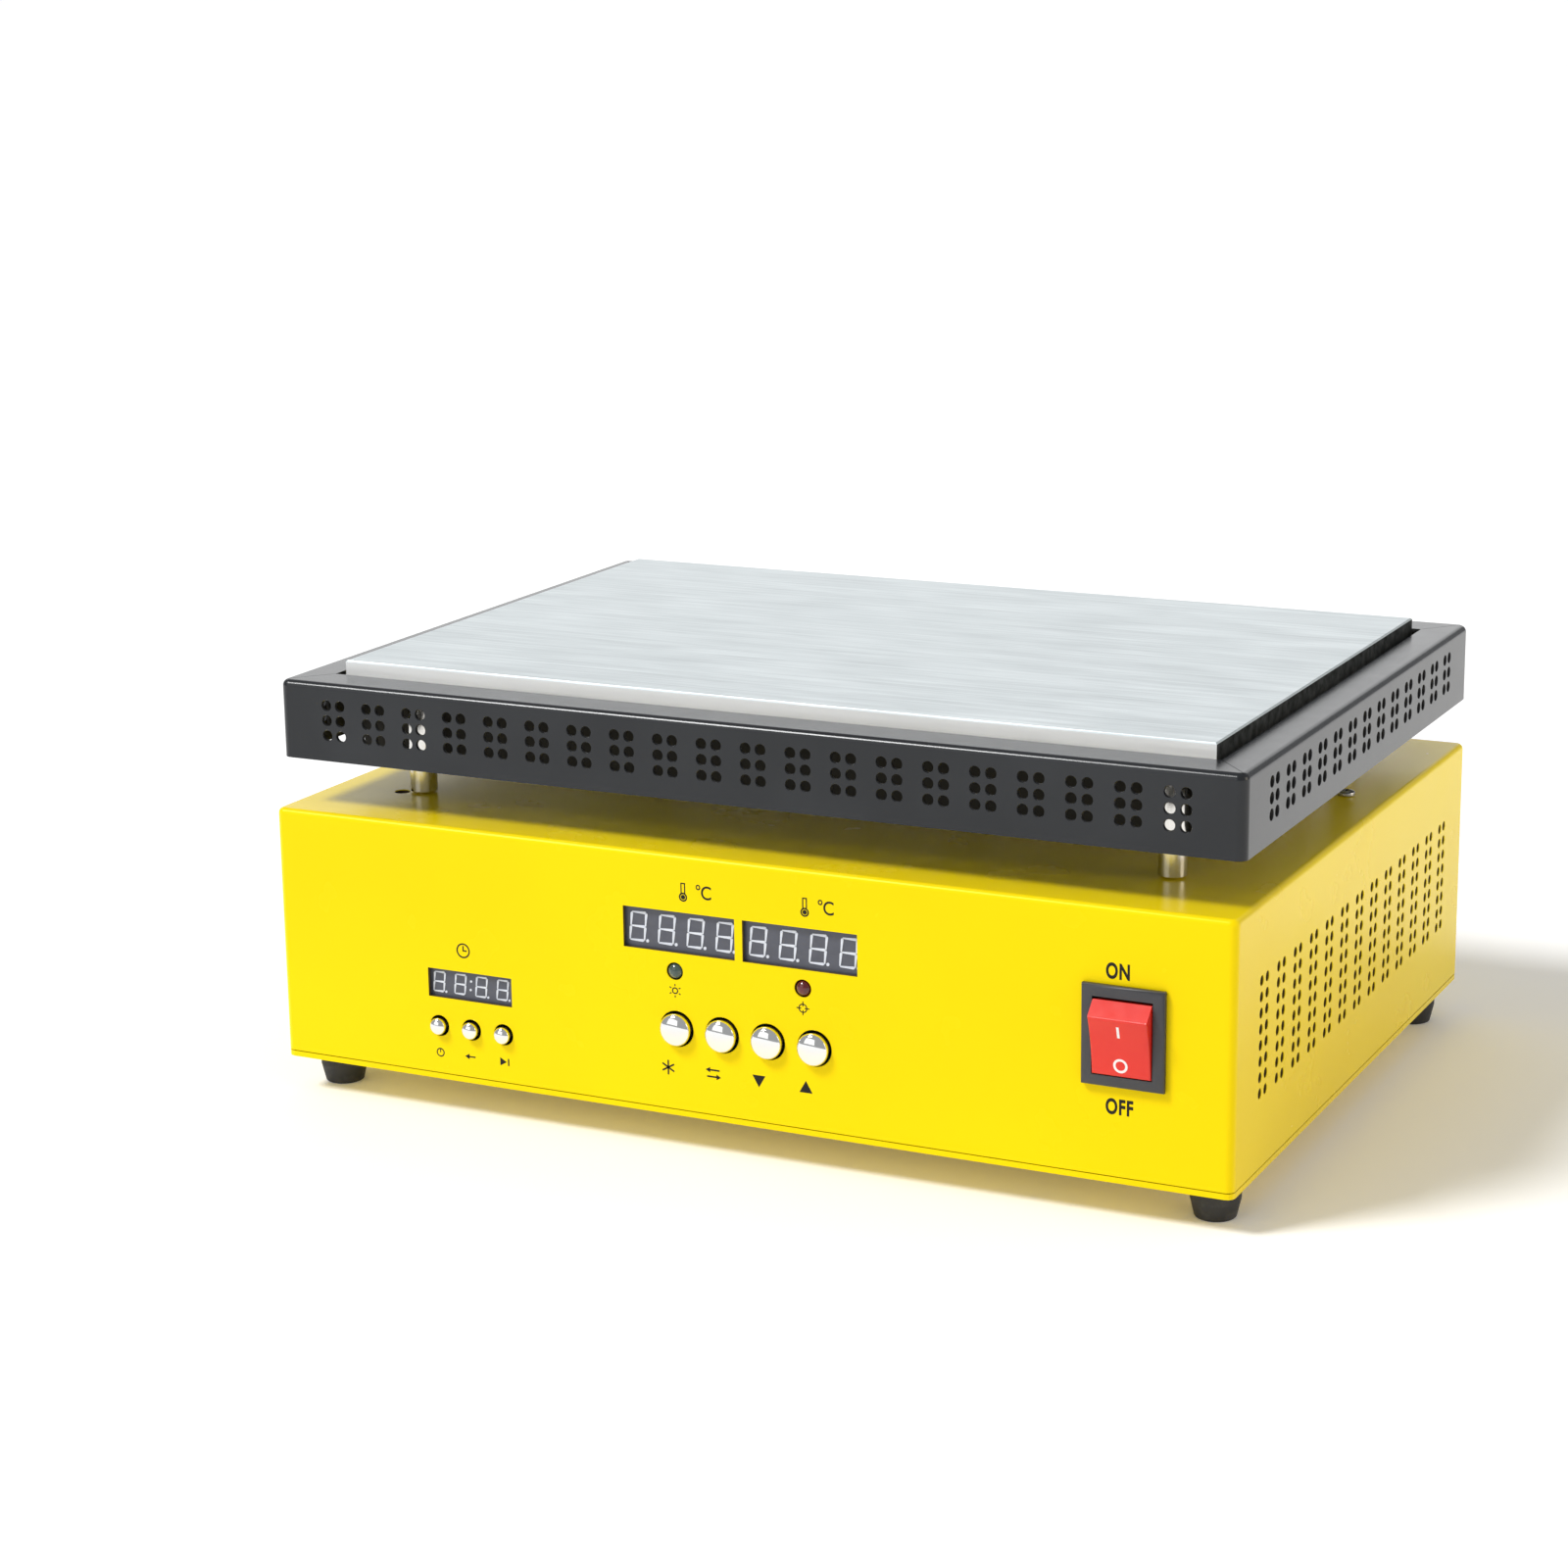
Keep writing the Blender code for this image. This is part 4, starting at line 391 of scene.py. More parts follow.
sleeve = Finish("glass_fibre_sleeve", (0.66, 0.64, 0.57), 0.85)
across = sleeve.node("TexWave", {"bands_direction": "X"}, {"Vector": sleeve.places(), "Scale": 420.0})
along = sleeve.node("TexWave", {"bands_direction": "DIAGONAL"},
                    {"Vector": sleeve.places((1, -1, 1)), "Scale": 420.0})
sleeve.paint(across * along, (0.42, 0.40, 0.34))
sleeve.relief(across * along, 0.12 * MM, 0.8)

transformer_core = Finish("transformer_core", (0.70, 0.42, 0.04), 0.45)
sheets = transformer_core.node("TexWave", {"bands_direction": "Z"},
                               {"Vector": transformer_core.places(), "Scale": 260.0})
transformer_core.paint(sheets * 0.6, (0.33, 0.20, 0.05))
transformer_core.relief(sheets, 0.06 * MM, 0.5)

wire_cover = Finish("wire_cover", (0.42, 0.022, 0.016), 0.42)
wire_cover.mottled(200, 3, (0.4, 0.8), (0.30, 0.016, 0.012))
wire_cover.uneven(700, 2, 0.15, 0.34)
print("inner finishes", circuit_board.name, sleeve.name)

# %% [markdown]
# Every solid gets the finish that its slot names, also where a finer piece replaces it later. The
# guard's rails share the guard's slot, but they lie in its shade and carry the painted shade of the
# guard's inside.

# %% Finishes on the solids
FINISHES = {finish.name: finish for finish in (
    yellow, charcoal, aluminium, steel, chrome, rubber, dark_plastic, red_plastic, display_face,
    green_lens, red_lens, circuit_board, transformer_core, sleeve, wire_cover)}
for name, node in frame["nodes"].items():
    node.data.materials.clear()
    node.data.materials.append(FINISHES[SLOT_OF[name]].material)
# The rails get the painted shade of the guard's inside, which keeps them dark behind its holes.
for name in ("guard_rail_front", "guard_rail_rear"):
    frame["nodes"][name].data.materials[0] = painted_shade_black.material
print("finishes", len(FINISHES), "on nodes", len(frame["nodes"]))

# %% [markdown]
# Every new piece is drawn in a bmesh that already lies in world space, so its object can stay at the
# origin. These helpers turn a bmesh into an object, let it ride on the same body as the solid it
# stands for, and hide that solid. Faces are shaded smooth, and edges sharper than an angle stay crisp.

# %% Piece helpers
SMOOTH_ANGLE = math.radians(32)
MERGE_DISTANCE = 0.001 * MM


def shade(data):
    data.shade_smooth()
    data.set_sharp_from_angle(angle=SMOOTH_ANGLE)


def make_piece(name, mesh, finish):
    bmesh.ops.remove_doubles(mesh, verts=mesh.verts, dist=MERGE_DISTANCE)
    bmesh.ops.recalc_face_normals(mesh, faces=mesh.faces)
    data = bpy.data.meshes.new(name)
    mesh.to_mesh(data)
    mesh.free()
    piece = bpy.data.objects.new(name, data)
    bpy.context.scene.collection.objects.link(piece)
    if finish:
        data.materials.append(finish.material)
    shade(data)
    return piece


def add_to(piece, node):
    """The piece moves with the body of a solid."""
    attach(piece, frame["nodes"][node]["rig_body"])
    return piece


def stand_for(piece, node):
    add_to(piece, node)
    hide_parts(node)
    return piece


print("pieces merge points within mm", MERGE_DISTANCE / MM)

# %% [markdown]
# Most sheet and moulded pieces start as a block. A block's edges are picked by their direction or by
# their level, and rounded with a bevel, because real folds and moulded edges are never sharp.

# %% Block helpers
LEVEL_SPREAD = 0.01 * MM


def add_block(mesh, low, high):
    low = Vector(low)
    high = Vector(high)
    place = Matrix.Translation((low + high) / 2) @ Matrix.Diagonal((*(high - low), 1))
    bmesh.ops.create_cube(mesh, size=1, matrix=place)


def round_edges(mesh, edges, radius, segments):
    bmesh.ops.bevel(mesh, geom=edges, offset=radius, offset_type="OFFSET", segments=segments,
                    profile=0.5, affect="EDGES", material=-1)


def edges_along(mesh, axis):
    return [edge for edge in mesh.edges
            if abs((edge.verts[0].co - edge.verts[1].co).normalized()[axis]) > 0.99]


def edges_level(mesh, axis, value):
    return [edge for edge in mesh.edges
            if all(abs(vert.co[axis] - value) < LEVEL_SPREAD for vert in edge.verts)]


# %% [markdown]
# Round pieces are turned: a profile of radius and height is spun about its axis. The spin merges its
# last step with its first, and points on the axis are merged afterwards. The named turns lay the axis
# along X or Y, for lamps, buttons and holes in the walls.

# %% Turning helpers
UP = Matrix.Identity(4)
DOWN = Matrix.Rotation(math.pi, 4, "X")
TO_REAR = Matrix.Rotation(math.radians(-90), 4, "X")
TO_FRONT = Matrix.Rotation(math.radians(90), 4, "X")
TO_LEFT = Matrix.Rotation(math.radians(-90), 4, "Y")
TO_RIGHT = Matrix.Rotation(math.radians(90), 4, "Y")


def turned(profile, steps):
    mesh = bmesh.new()
    points = [mesh.verts.new((radius, 0, height)) for radius, height in profile]
    lines = [mesh.edges.new(pair) for pair in zip(points, points[1:])]
    bmesh.ops.spin(mesh, geom=points + lines, cent=(0, 0, 0), axis=(0, 0, 1), angle=math.tau,
                   steps=steps, use_merge=True)
    bmesh.ops.remove_doubles(mesh, verts=mesh.verts, dist=MERGE_DISTANCE)
    return mesh


def arc(centre, radii, start, end, steps):
    """Points of an ellipse's arc, with angles in degrees from the radius axis to the height axis."""
    points = []
    for step in range(steps + 1):
        angle = math.radians(start + (end - start) * step / steps)
        points.append((centre[0] + radii[0] * math.cos(angle), centre[1] + radii[1] * math.sin(angle)))
    return points


def turned_piece(name, profile, place, direction, steps, finish):
    mesh = turned(profile, steps)
    bmesh.ops.transform(mesh, matrix=Matrix.Translation(place) @ direction, verts=mesh.verts)
    return make_piece(name, mesh, finish)


# %% [markdown]
# Sheet metal is folded and punched. The folds are bevels on a block, and the punch is a Boolean cut.
# The cutter of a round hole flares where it leaves the sheet, because paint draws back from a punched
# edge and leaves a rounded rim that catches the light. The cut is applied at once, and the cutters
# are deleted, so that only the finished mesh stays in the scene.

# %% Folding and punching helpers
SHEET = 1.2 * MM
FOLD_SEGMENTS = 6
IN_WALL = Vector((SHEET, SHEET, SHEET))
IN_WALL_OPEN_BELOW = Vector((SHEET, SHEET, -SHEET))


def folded_block(low, high, corner, fold):
    mesh = bmesh.new()
    add_block(mesh, low, high)
    round_edges(mesh, edges_along(mesh, 2), corner, FOLD_SEGMENTS)
    round_edges(mesh, edges_level(mesh, 2, high[2]), fold, FOLD_SEGMENTS)
    return mesh


def punch(radius, rim, steps):
    """A cutter whose local Z runs from the sheet's outer face into the sheet."""
    profile = [(0, -SHEET), (radius + rim, -SHEET), (radius + rim, 0), (radius + rim * 0.3, rim * 0.3),
               (radius, rim), (radius, SHEET * 1.5), (0, SHEET * 1.5)]
    mesh = turned(profile, steps)
    bmesh.ops.recalc_face_normals(mesh, faces=mesh.faces)
    data = bpy.data.meshes.new("punch")
    mesh.to_mesh(data)
    mesh.free()
    return data


def add_punches(mesh, template, places, direction):
    for place in places:
        copy = template.copy()
        copy.transform(Matrix.Translation(place) @ direction)
        mesh.from_mesh(copy)
        bpy.data.meshes.remove(copy)


def cut_away(piece, mesh):
    """Cuts every closed body of the bmesh out of the piece, which keeps its own material."""
    cutter = make_piece("cutter", mesh, None)
    coat = piece.data.materials[0]
    step = piece.modifiers.new("cut", "BOOLEAN")
    step.solver = "MANIFOLD"
    step.object = cutter
    bpy.context.view_layer.update()
    solid = piece.evaluated_get(bpy.context.evaluated_depsgraph_get())
    piece.data = bpy.data.meshes.new_from_object(solid)
    piece.data.materials.clear()
    piece.data.materials.append(coat)
    piece.modifiers.clear()
    bpy.data.objects.remove(cutter)
    return len(piece.data.polygons)


print("sheet thickness in mm", SHEET / MM)

# %% [markdown]
# The outer faces of a folded sheet have the full paint, and everything deeper has painted shade. How
# deep a face lies is measured from the rounded outline, so a fold counts as outside. The large walls
# pull the normals of the small fold faces beside them, which keeps flat walls flat in the light.

# %% Coating helpers
PAINTED_SHADE_DEPTH = 0.35 * SHEET


def depth_round_edge(first, second, radius):
    """How deep a point lies under two walls that meet in a rounded edge."""
    if first < radius and second < radius:
        return radius - math.hypot(radius - first, radius - second)
    return min(first, second)


def settle_sheet(piece, low, high, corner, fold, finishes):
    """Paints shade on the inside, and keeps the large walls flat beside their rounded folds."""
    piece.data.materials.clear()
    for finish in finishes:
        piece.data.materials.append(finish.material)
    for face in piece.data.polygons:
        x, y, z = face.center
        walls = depth_round_edge(min(x - low.x, high.x - x), min(y - low.y, high.y - y), corner)
        depth = depth_round_edge(walls, high.z - z, fold)
        face.material_index = 1 if depth > PAINTED_SHADE_DEPTH else 0
    shade(piece.data)
    step = piece.modifiers.new("flat_walls", "WEIGHTED_NORMAL")
    step.keep_sharp = True
    step.weight = 100


# Faces deeper than this depth get the painted shade.
print("full coat down to mm", round(PAINTED_SHADE_DEPTH / MM, 2))

# %% [markdown]
# The guard is one folded frame of thin steel round the plate. A block with rounded folds is hollowed
# from below, because that keeps the sheet's thickness even, and an opening in its top leaves a small
# gap round the plate.

# %% Guard frame
GUARD_CORNER = 3.2 * MM
GUARD_FOLD = 2.2 * MM
PLATE_CLEARANCE = 2.5 * MM

guard = make_piece("perforated_guard", folded_block(GUARD_LOW, GUARD_HIGH, GUARD_CORNER, GUARD_FOLD),
                   charcoal)
cut_away(guard, folded_block(GUARD_LOW + IN_WALL_OPEN_BELOW, GUARD_HIGH - IN_WALL,
                             GUARD_CORNER - SHEET, GUARD_FOLD - SHEET))
around_plate = Vector((PLATE_CLEARANCE, PLATE_CLEARANCE, 0))
open_low = PLATE_LOW - around_plate
open_high = PLATE_HIGH + around_plate
open_low.z = GUARD_HIGH.z - SHEET * 2
open_high.z = GUARD_HIGH.z + SHEET
mesh = bmesh.new()
add_block(mesh, open_low, open_high)
print("guard faces", cut_away(guard, mesh), "opening in mm", in_mm((open_high - open_low).xy))

# %% [markdown]
# The guard's walls are punched with groups of two columns by three rows of round holes. The group pitch
# fills each wall between plain ends. One punch is copied to every place, and all the holes of the
# guard are cut in one Boolean, which takes as long as a single hole would.

# %% Guard holes
HOLE_RADIUS = 1.75 * MM
HOLE_RIM = 0.32 * MM
HOLE_DROP = 7.2 * MM
HOLE_ROW = 5.0 * MM
HOLE_COLUMN = 5.1 * MM
HOLE_GROUP = 15.2 * MM
GUARD_FRONT_GROUPS = 20
GUARD_SIDE_GROUPS = 13
GUARD_ROWS = 3


def columns(groups, pitch):
    first = -(groups - 1) / 2 * pitch
    return [first + group * pitch + side * HOLE_COLUMN / 2
            for group in range(groups) for side in (-1, 1)]


def punch_sides(mesh, template, low, high, holes):
    add_punches(mesh, template, [(low.x, y, z) for y, z in holes], TO_RIGHT)
    add_punches(mesh, template, [(high.x, y, z) for y, z in holes], TO_LEFT)


middle_x = (GUARD_LOW.x + GUARD_HIGH.x) / 2
middle_y = (GUARD_LOW.y + GUARD_HIGH.y) / 2
rows = [GUARD_HIGH.z - HOLE_DROP - row * HOLE_ROW for row in range(GUARD_ROWS)]
front_holes = [(middle_x + x, z) for x in columns(GUARD_FRONT_GROUPS, HOLE_GROUP) for z in rows]
side_holes = [(middle_y + y, z) for y in columns(GUARD_SIDE_GROUPS, HOLE_GROUP) for z in rows]
guard_punch = punch(HOLE_RADIUS, HOLE_RIM, 18)
mesh = bmesh.new()
add_punches(mesh, guard_punch, [(x, GUARD_LOW.y, z) for x, z in front_holes], TO_REAR)
add_punches(mesh, guard_punch, [(x, GUARD_HIGH.y, z) for x, z in front_holes], TO_FRONT)
punch_sides(mesh, guard_punch, GUARD_LOW, GUARD_HIGH, side_holes)
print("guard faces", cut_away(guard, mesh), "holes", 2 * (len(front_holes) + len(side_holes)))

# %% [markdown]
# The flange on top of the guard is mitred, which leaves a fine seam across each corner. A seam is a
# shallow groove that a thin upright blade cuts, and four blades are cut at once.

# %% Guard seams
SEAM = 0.22 * MM
SEAM_DEPTH = 0.5 * MM


def add_seam(mesh, start, end):
    """A thin upright blade along the line from start to end."""
    line = end - start
    place = Matrix.Translation((start + end) / 2) @ Matrix.Rotation(math.atan2(line.y, line.x), 4, "Z")
    bmesh.ops.create_cube(mesh, size=1,
                          matrix=place @ Matrix.Diagonal((line.length, SEAM, SEAM_DEPTH * 2, 1)))


mesh = bmesh.new()
for inner_x, outer_x in ((open_low.x, GUARD_LOW.x), (open_high.x, GUARD_HIGH.x)):
    for inner_y, outer_y in ((open_low.y, GUARD_LOW.y), (open_high.y, GUARD_HIGH.y)):
        add_seam(mesh, Vector((inner_x, inner_y, GUARD_HIGH.z)), Vector((outer_x, outer_y, GUARD_HIGH.z)))
faces = cut_away(guard, mesh)
settle_sheet(guard, GUARD_LOW, GUARD_HIGH, GUARD_CORNER, GUARD_FOLD, (charcoal, painted_shade_black))
stand_for(guard, "guard_frame")
print("guard faces", faces)

# %% [markdown]
# The housing is a deeper folded box, open below with a narrow flange that carries the bottom sheet.
# It starts as the guard does, but its hollow stops one sheet above its underside, and the opening is
# cut into that floor.

# %% Housing shell
HOUSING_CORNER = 2.6 * MM
HOUSING_FOLD = 2.0 * MM
FLANGE = 14 * MM

housing = make_piece("formed_housing",
                     folded_block(HOUSING_LOW, HOUSING_HIGH, HOUSING_CORNER, HOUSING_FOLD), yellow)
cut_away(housing, folded_block(HOUSING_LOW + IN_WALL, HOUSING_HIGH - IN_WALL, HOUSING_CORNER - SHEET,
                               HOUSING_FOLD - SHEET))
mesh = bmesh.new()
add_block(mesh, (HOUSING_LOW.x + FLANGE, FRONT + FLANGE, HOUSING_LOW.z - SHEET),
          (HOUSING_HIGH.x - FLANGE, REAR - FLANGE, HOUSING_LOW.z + SHEET * 2))
print("housing faces", cut_away(housing, mesh))

# %% [markdown]
# The windows of the panel line up with what shows through them, so each cutter takes its place from
# the box of that display, switch or inlet. A display is a little larger than its window, and the
# sheet hides its edge.

# %% Windows
DISPLAY_EDGE = 1.0 * MM
SWITCH_CASE = Vector((22.2, 29.8)) * MM
INLET_CASE = Vector((28.6, 21.0)) * MM
DISPLAYS = ("actual_display", "setpoint_display", "timer_display")


def centre_of(node):
    low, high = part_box(node)
    return (low + high) / 2


def add_window(mesh, centre, size, low_y, high_y):
    add_block(mesh, (centre.x - size.x / 2, low_y, centre.z - size.y / 2),
              (centre.x + size.x / 2, high_y, centre.z + size.y / 2))


mesh = bmesh.new()
for name in DISPLAYS:
    low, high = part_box(name)
    window = Vector((high.x - low.x, high.z - low.z)) - Vector((DISPLAY_EDGE, DISPLAY_EDGE)) * 2
    add_window(mesh, centre_of(name), window, FRONT - SHEET, FRONT + SHEET * 1.5)
add_window(mesh, centre_of("switch_body"), SWITCH_CASE, FRONT - SHEET, FRONT + SHEET * 1.5)
inlet_centre = centre_of("power_inlet")
add_window(mesh, inlet_centre, INLET_CASE, REAR - SHEET * 1.5, REAR + SHEET)
print("housing faces", cut_away(housing, mesh))

# %% [markdown]
# The round holes are punched with the same flared cutter as the guard's. The panel has holes for lamps
# and buttons, and the top has holes for the posts' screws, the heater leads' grommet and the earth
# screw. One spare hole beside the front left post is left open on the real box.

# %% Round holes
LED_CLEARANCE = 0.3 * MM
LED_RADIUS = 2.5 * MM
BUTTON_CLEARANCE = 0.6 * MM
TIMER_CLEARANCE = 0.7 * MM
SCREW_HOLE_RADIUS = 2.7 * MM
GROMMET_HOLE_RADIUS = 10 * MM
EARTH_HOLE_RADIUS = 1.7 * MM
SPARE_HOLE_RADIUS = 2.5 * MM
SPARE_HOLE = Vector((-6.5, -3.25, 0)) * MM
PANEL_RIM = 0.25 * MM
CORNERS = ("front_left", "front_right", "rear_left", "rear_right")
BUTTONS = ("button_mode", "button_shift", "button_down", "button_up")
TIMER_BUTTONS = ("timer_button_set", "timer_button_reset", "timer_button_start")
LAMPS = ("status_led", "calibration_led")


def at_depth(node, y):
    """The point of a node's axis along Y at a depth."""
    return Vector((centre_of(node).x, y, centre_of(node).z))


def at_height(node, z):
    """The point of a node's axis along Z at a height."""
    return Vector((centre_of(node).x, centre_of(node).y, z))


def radius_of(node):
    low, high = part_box(node)
    return (high.x - low.x) / 2


mesh = bmesh.new()
for nodes, radius, steps in ((LAMPS, LED_RADIUS + LED_CLEARANCE, 32),
                             (BUTTONS, radius_of(BUTTONS[0]) + BUTTON_CLEARANCE, 48),
                             (TIMER_BUTTONS, radius_of(TIMER_BUTTONS[0]) + TIMER_CLEARANCE, 32)):
    add_punches(mesh, punch(radius, PANEL_RIM, steps), [at_depth(node, FRONT) for node in nodes], TO_REAR)
spare = at_height("post_front_left", TOP) + SPARE_HOLE
for places, radius, steps in (
        ([at_height(f"post_{corner}", TOP) for corner in CORNERS], SCREW_HOLE_RADIUS, 24),
        ([at_height("cable_grommet", TOP)], GROMMET_HOLE_RADIUS, 40),
        ([at_height("earth_screw", TOP)], EARTH_HOLE_RADIUS, 20), ([spare], SPARE_HOLE_RADIUS, 28)):
    add_punches(mesh, punch(radius, PANEL_RIM, steps), places, DOWN)
print("housing faces", cut_away(housing, mesh))

# %% [markdown]
# The two sides have vents in pairs of columns as on the guard, but eight rows deep and a little
# smaller. They let air rise past the power board. They are the last cut, so the housing gets its paint
# and its painted shade here.

# %% Side vents
VENT_RADIUS = 1.6 * MM
VENT_RIM = 0.28 * MM
VENT_DROP = 24.3 * MM
VENT_GROUP = 15.7 * MM
VENT_GROUPS = 13
VENT_ROWS = 8

housing_middle = (FRONT + REAR) / 2
vents = [(housing_middle + y, TOP - VENT_DROP - row * HOLE_ROW)
         for y in columns(VENT_GROUPS, VENT_GROUP) for row in range(VENT_ROWS)]
mesh = bmesh.new()
punch_sides(mesh, punch(VENT_RADIUS, VENT_RIM, 14), HOUSING_LOW, HOUSING_HIGH, vents)
faces = cut_away(housing, mesh)
settle_sheet(housing, HOUSING_LOW, HOUSING_HIGH, HOUSING_CORNER, HOUSING_FOLD, (yellow, painted_shade_yellow))
stand_for(housing, "housing_shell")
print("housing faces", faces, "vents", 2 * len(vents))

# %% [markdown]
# Hexagonal studs are welded to the back of the panel and carry the two boards. They belong to the
# housing, but they are steel and not yellow, so they are a piece of their own with six sides.

# %% Panel studs
STUD_RADIUS = 2.6 * MM
STUD_NUT_RADIUS = 3.0 * MM
STUD_NUT_HEIGHT = 2.4 * MM
STUD_INSET = 4 * MM
STUD_AIR = 0.3 * MM
BOARD_THICKNESS = 1.6 * MM

mesh = bmesh.new()
places = []
for board in ("control_board", "timer_board"):
    low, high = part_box(board)
    places += [(x, z, high.y) for x in (low.x + STUD_INSET, high.x - STUD_INSET)
               for z in (low.z + STUD_INSET, high.z - STUD_INSET)]
for x, z, back in places:
    nut = back + STUD_AIR
    for radius, start, end in ((STUD_RADIUS, FRONT + SHEET, back - BOARD_THICKNESS - STUD_AIR),
                               (STUD_NUT_RADIUS, nut, nut + STUD_NUT_HEIGHT)):
        bmesh.ops.create_cone(mesh, cap_ends=True, segments=6, radius1=radius, radius2=radius,
                              depth=end - start,
                              matrix=Matrix.Translation((x, (start + end) / 2, z)) @ TO_REAR)
studs = add_to(make_piece("panel_studs", mesh, steel), "housing_shell")
print("studs", len(places))

# %% [markdown]
# The posts are lengths of tube, faced and chamfered on a lathe. The feet are moulded rubber cones with
# a recess for the screw. Both are turned from profiles with rounded corners, at enough steps for a
# smooth outline in a close view.

# %% Posts and feet
POST_CHAMFER = 0.4 * MM
POST_BORE = 2.8 * MM
FOOT_SOLE_RADIUS = 5.75 * MM
FOOT_STRAIGHT = 5.5 * MM
FOOT_ROUND = 0.7 * MM
FOOT_RECESS = 4.2 * MM
FOOT_RECESS_DEPTH = 5 * MM
FOOT_BORE = 2.2 * MM


def turned_post(corner):
    node = f"post_{corner}"
    low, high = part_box(node)
    radius = radius_of(node)
    length = high.z - low.z
    profile = [(POST_BORE, 0), (radius - POST_CHAMFER, 0), (radius, POST_CHAMFER),
               (radius, length - POST_CHAMFER), (radius - POST_CHAMFER, length), (POST_BORE, length),
               (POST_BORE, 0)]
    stand_for(turned_piece(f"turned_{node}", profile, at_height(node, low.z), UP, 48, turned_steel), node)


def moulded_foot(corner):
    node = f"foot_{corner}"
    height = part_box(node)[1].z
    side = radius_of(node) - FOOT_ROUND
    sole = (FOOT_ROUND, FOOT_ROUND)
    rim = FOOT_ROUND / 2
    profile = [(FOOT_BORE, height), (FOOT_BORE, FOOT_RECESS_DEPTH), (FOOT_RECESS, FOOT_RECESS_DEPTH),
               (FOOT_RECESS, 0)]
    profile += arc((FOOT_SOLE_RADIUS, FOOT_ROUND), sole, -90, -15, 5)
    profile += arc((side, height - FOOT_STRAIGHT), sole, -25, 0, 3)
    profile += arc((side + rim, height - rim), (rim, rim), 0, 90, 4)
    profile += [(FOOT_BORE, height)]
    stand_for(turned_piece(f"moulded_{node}", profile, at_height(node, 0), UP, 56, rubber), node)


for corner in CORNERS:
    turned_post(corner)
    moulded_foot(corner)
print("posts and feet", 2 * len(CORNERS))

# %% [markdown]
# Screws are cold headed: a low dome with a cross recess. The head is turned, and the cross is cut with
# two blades. The bottom, foot, post and earth screws share one function, and each takes its head's
# width and its length from the solid that it stands for.

# %% Screws
SMALL_HEAD = 1.7 * MM
SMALL_SHANK = 1.4 * MM
LARGE_HEAD = 2.4 * MM
FOOT_SHANK = 1.9 * MM
POST_SHANK = 2.4 * MM
RECESS_WIDTH = 0.28
RECESS_LENGTH = 1.25
RECESS_DEPTH = 0.55


def pan_screw(name, node, head, shank, direction):
    low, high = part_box(node)
    radius = radius_of(node)
    length = high.z - low.z
    profile = [(0, -head)]
    profile += [(x, -y) for x, y in arc((0, head * 0.4), (radius, head * 0.6), 84, 0, 7)]
    profile += [(radius, 0), (shank, 0), (shank, length - head), (0, length - head)]
    seat = at_height(node, low.z + head if direction is UP else high.z - head)
    screw = turned_piece(name, profile, seat, direction, 32, steel)
    blade = Matrix.Translation((0, 0, -head)) @ Matrix.Diagonal(
        (radius * RECESS_LENGTH, radius * RECESS_WIDTH, head * RECESS_DEPTH * 2, 1))
    for angle in (0, 90):
        turn = Matrix.Rotation(math.radians(angle), 4, "Z")
        cross = bmesh.new()
        bmesh.ops.create_cube(cross, size=1, matrix=Matrix.Translation(seat) @ direction @ turn @ blade)
        cut_away(screw, cross)
    shade(screw.data)
    stand_for(screw, node)


for corner in CORNERS:
    pan_screw(f"bottom_screw_{corner}", f"base_screw_{corner}", SMALL_HEAD, SMALL_SHANK, UP)
    pan_screw(f"foot_fixing_{corner}", f"foot_screw_{corner}", LARGE_HEAD, FOOT_SHANK, UP)
    pan_screw(f"post_fixing_{corner}", f"post_screw_{corner}", LARGE_HEAD, POST_SHANK, UP)
pan_screw("earth_fixing", "earth_screw", SMALL_HEAD, SMALL_SHANK, DOWN)
print("screws", 3 * len(CORNERS) + 1)

# %% [markdown]
# The push buttons are pressed metal caps with a polished dome. The dome is a quarter ellipse, and a
# small radius joins it to the skirt, because a pressed cap has no sharp edge. Each cap rides on the
# body of its own button and stays clear of the panel when it is pressed. A lamp is a resin bullet with
# a flange behind the panel.

# %% Push buttons and lamps
CAP_EDGE = 0.25 * MM
SKIRT = 2.8 * MM
DOME = 2.3 * MM
TIMER_DOME = 1.6 * MM
STEM_RADIUS = 3.1 * MM
TIMER_STEM_RADIUS = 1.6 * MM
LAMP_DOME = 2.0 * MM
LAMP_FLANGE = 1.0 * MM


def cap(node, dome, stem_radius):
    low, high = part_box(node)
    radius = radius_of(node)
    skirt = FRONT + SKIRT - low.y
    length = high.y - low.y
    profile = arc((0, dome), (radius, dome), -90, -4, 14)
    profile += [(radius, dome + CAP_EDGE), (radius, skirt - CAP_EDGE), (radius - CAP_EDGE, skirt),
                (stem_radius, skirt), (stem_radius, length), (0, length)]
    profile[0] = (0, 0)
    stand_for(turned_piece(f"{node}_cap", profile, at_depth(node, low.y), TO_REAR, 56, chrome), node)


def lens(node):
    low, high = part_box(node)
    length = high.y - low.y
    flange = radius_of(node)
    profile = [(0, 0), (flange, 0), (flange, LAMP_FLANGE), (LED_RADIUS, LAMP_FLANGE)]
    profile += arc((0, length - LAMP_DOME), (LED_RADIUS, LAMP_DOME), 0, 90, 14)
    profile[-1] = (0, length)
    stand_for(turned_piece(f"{node}_lens", profile, at_depth(node, high.y), TO_FRONT, 40,
                           FINISHES[SLOT_OF[node]]), node)


for node in BUTTONS:
    cap(node, DOME, STEM_RADIUS)
for node in TIMER_BUTTONS:
    cap(node, TIMER_DOME, TIMER_STEM_RADIUS)
for node in LAMPS:
    lens(node)
print("caps", len(BUTTONS) + len(TIMER_BUTTONS), "lenses", len(LAMPS))

# %% [markdown]
# The rocker is one moulding, seen from the side as a shallow bow between two ridges. It is drawn at
# its middle position about its pivot, extruded across the switch, rounded, and then tilted to OFF.
# A pin through the moulding is the pivot itself.

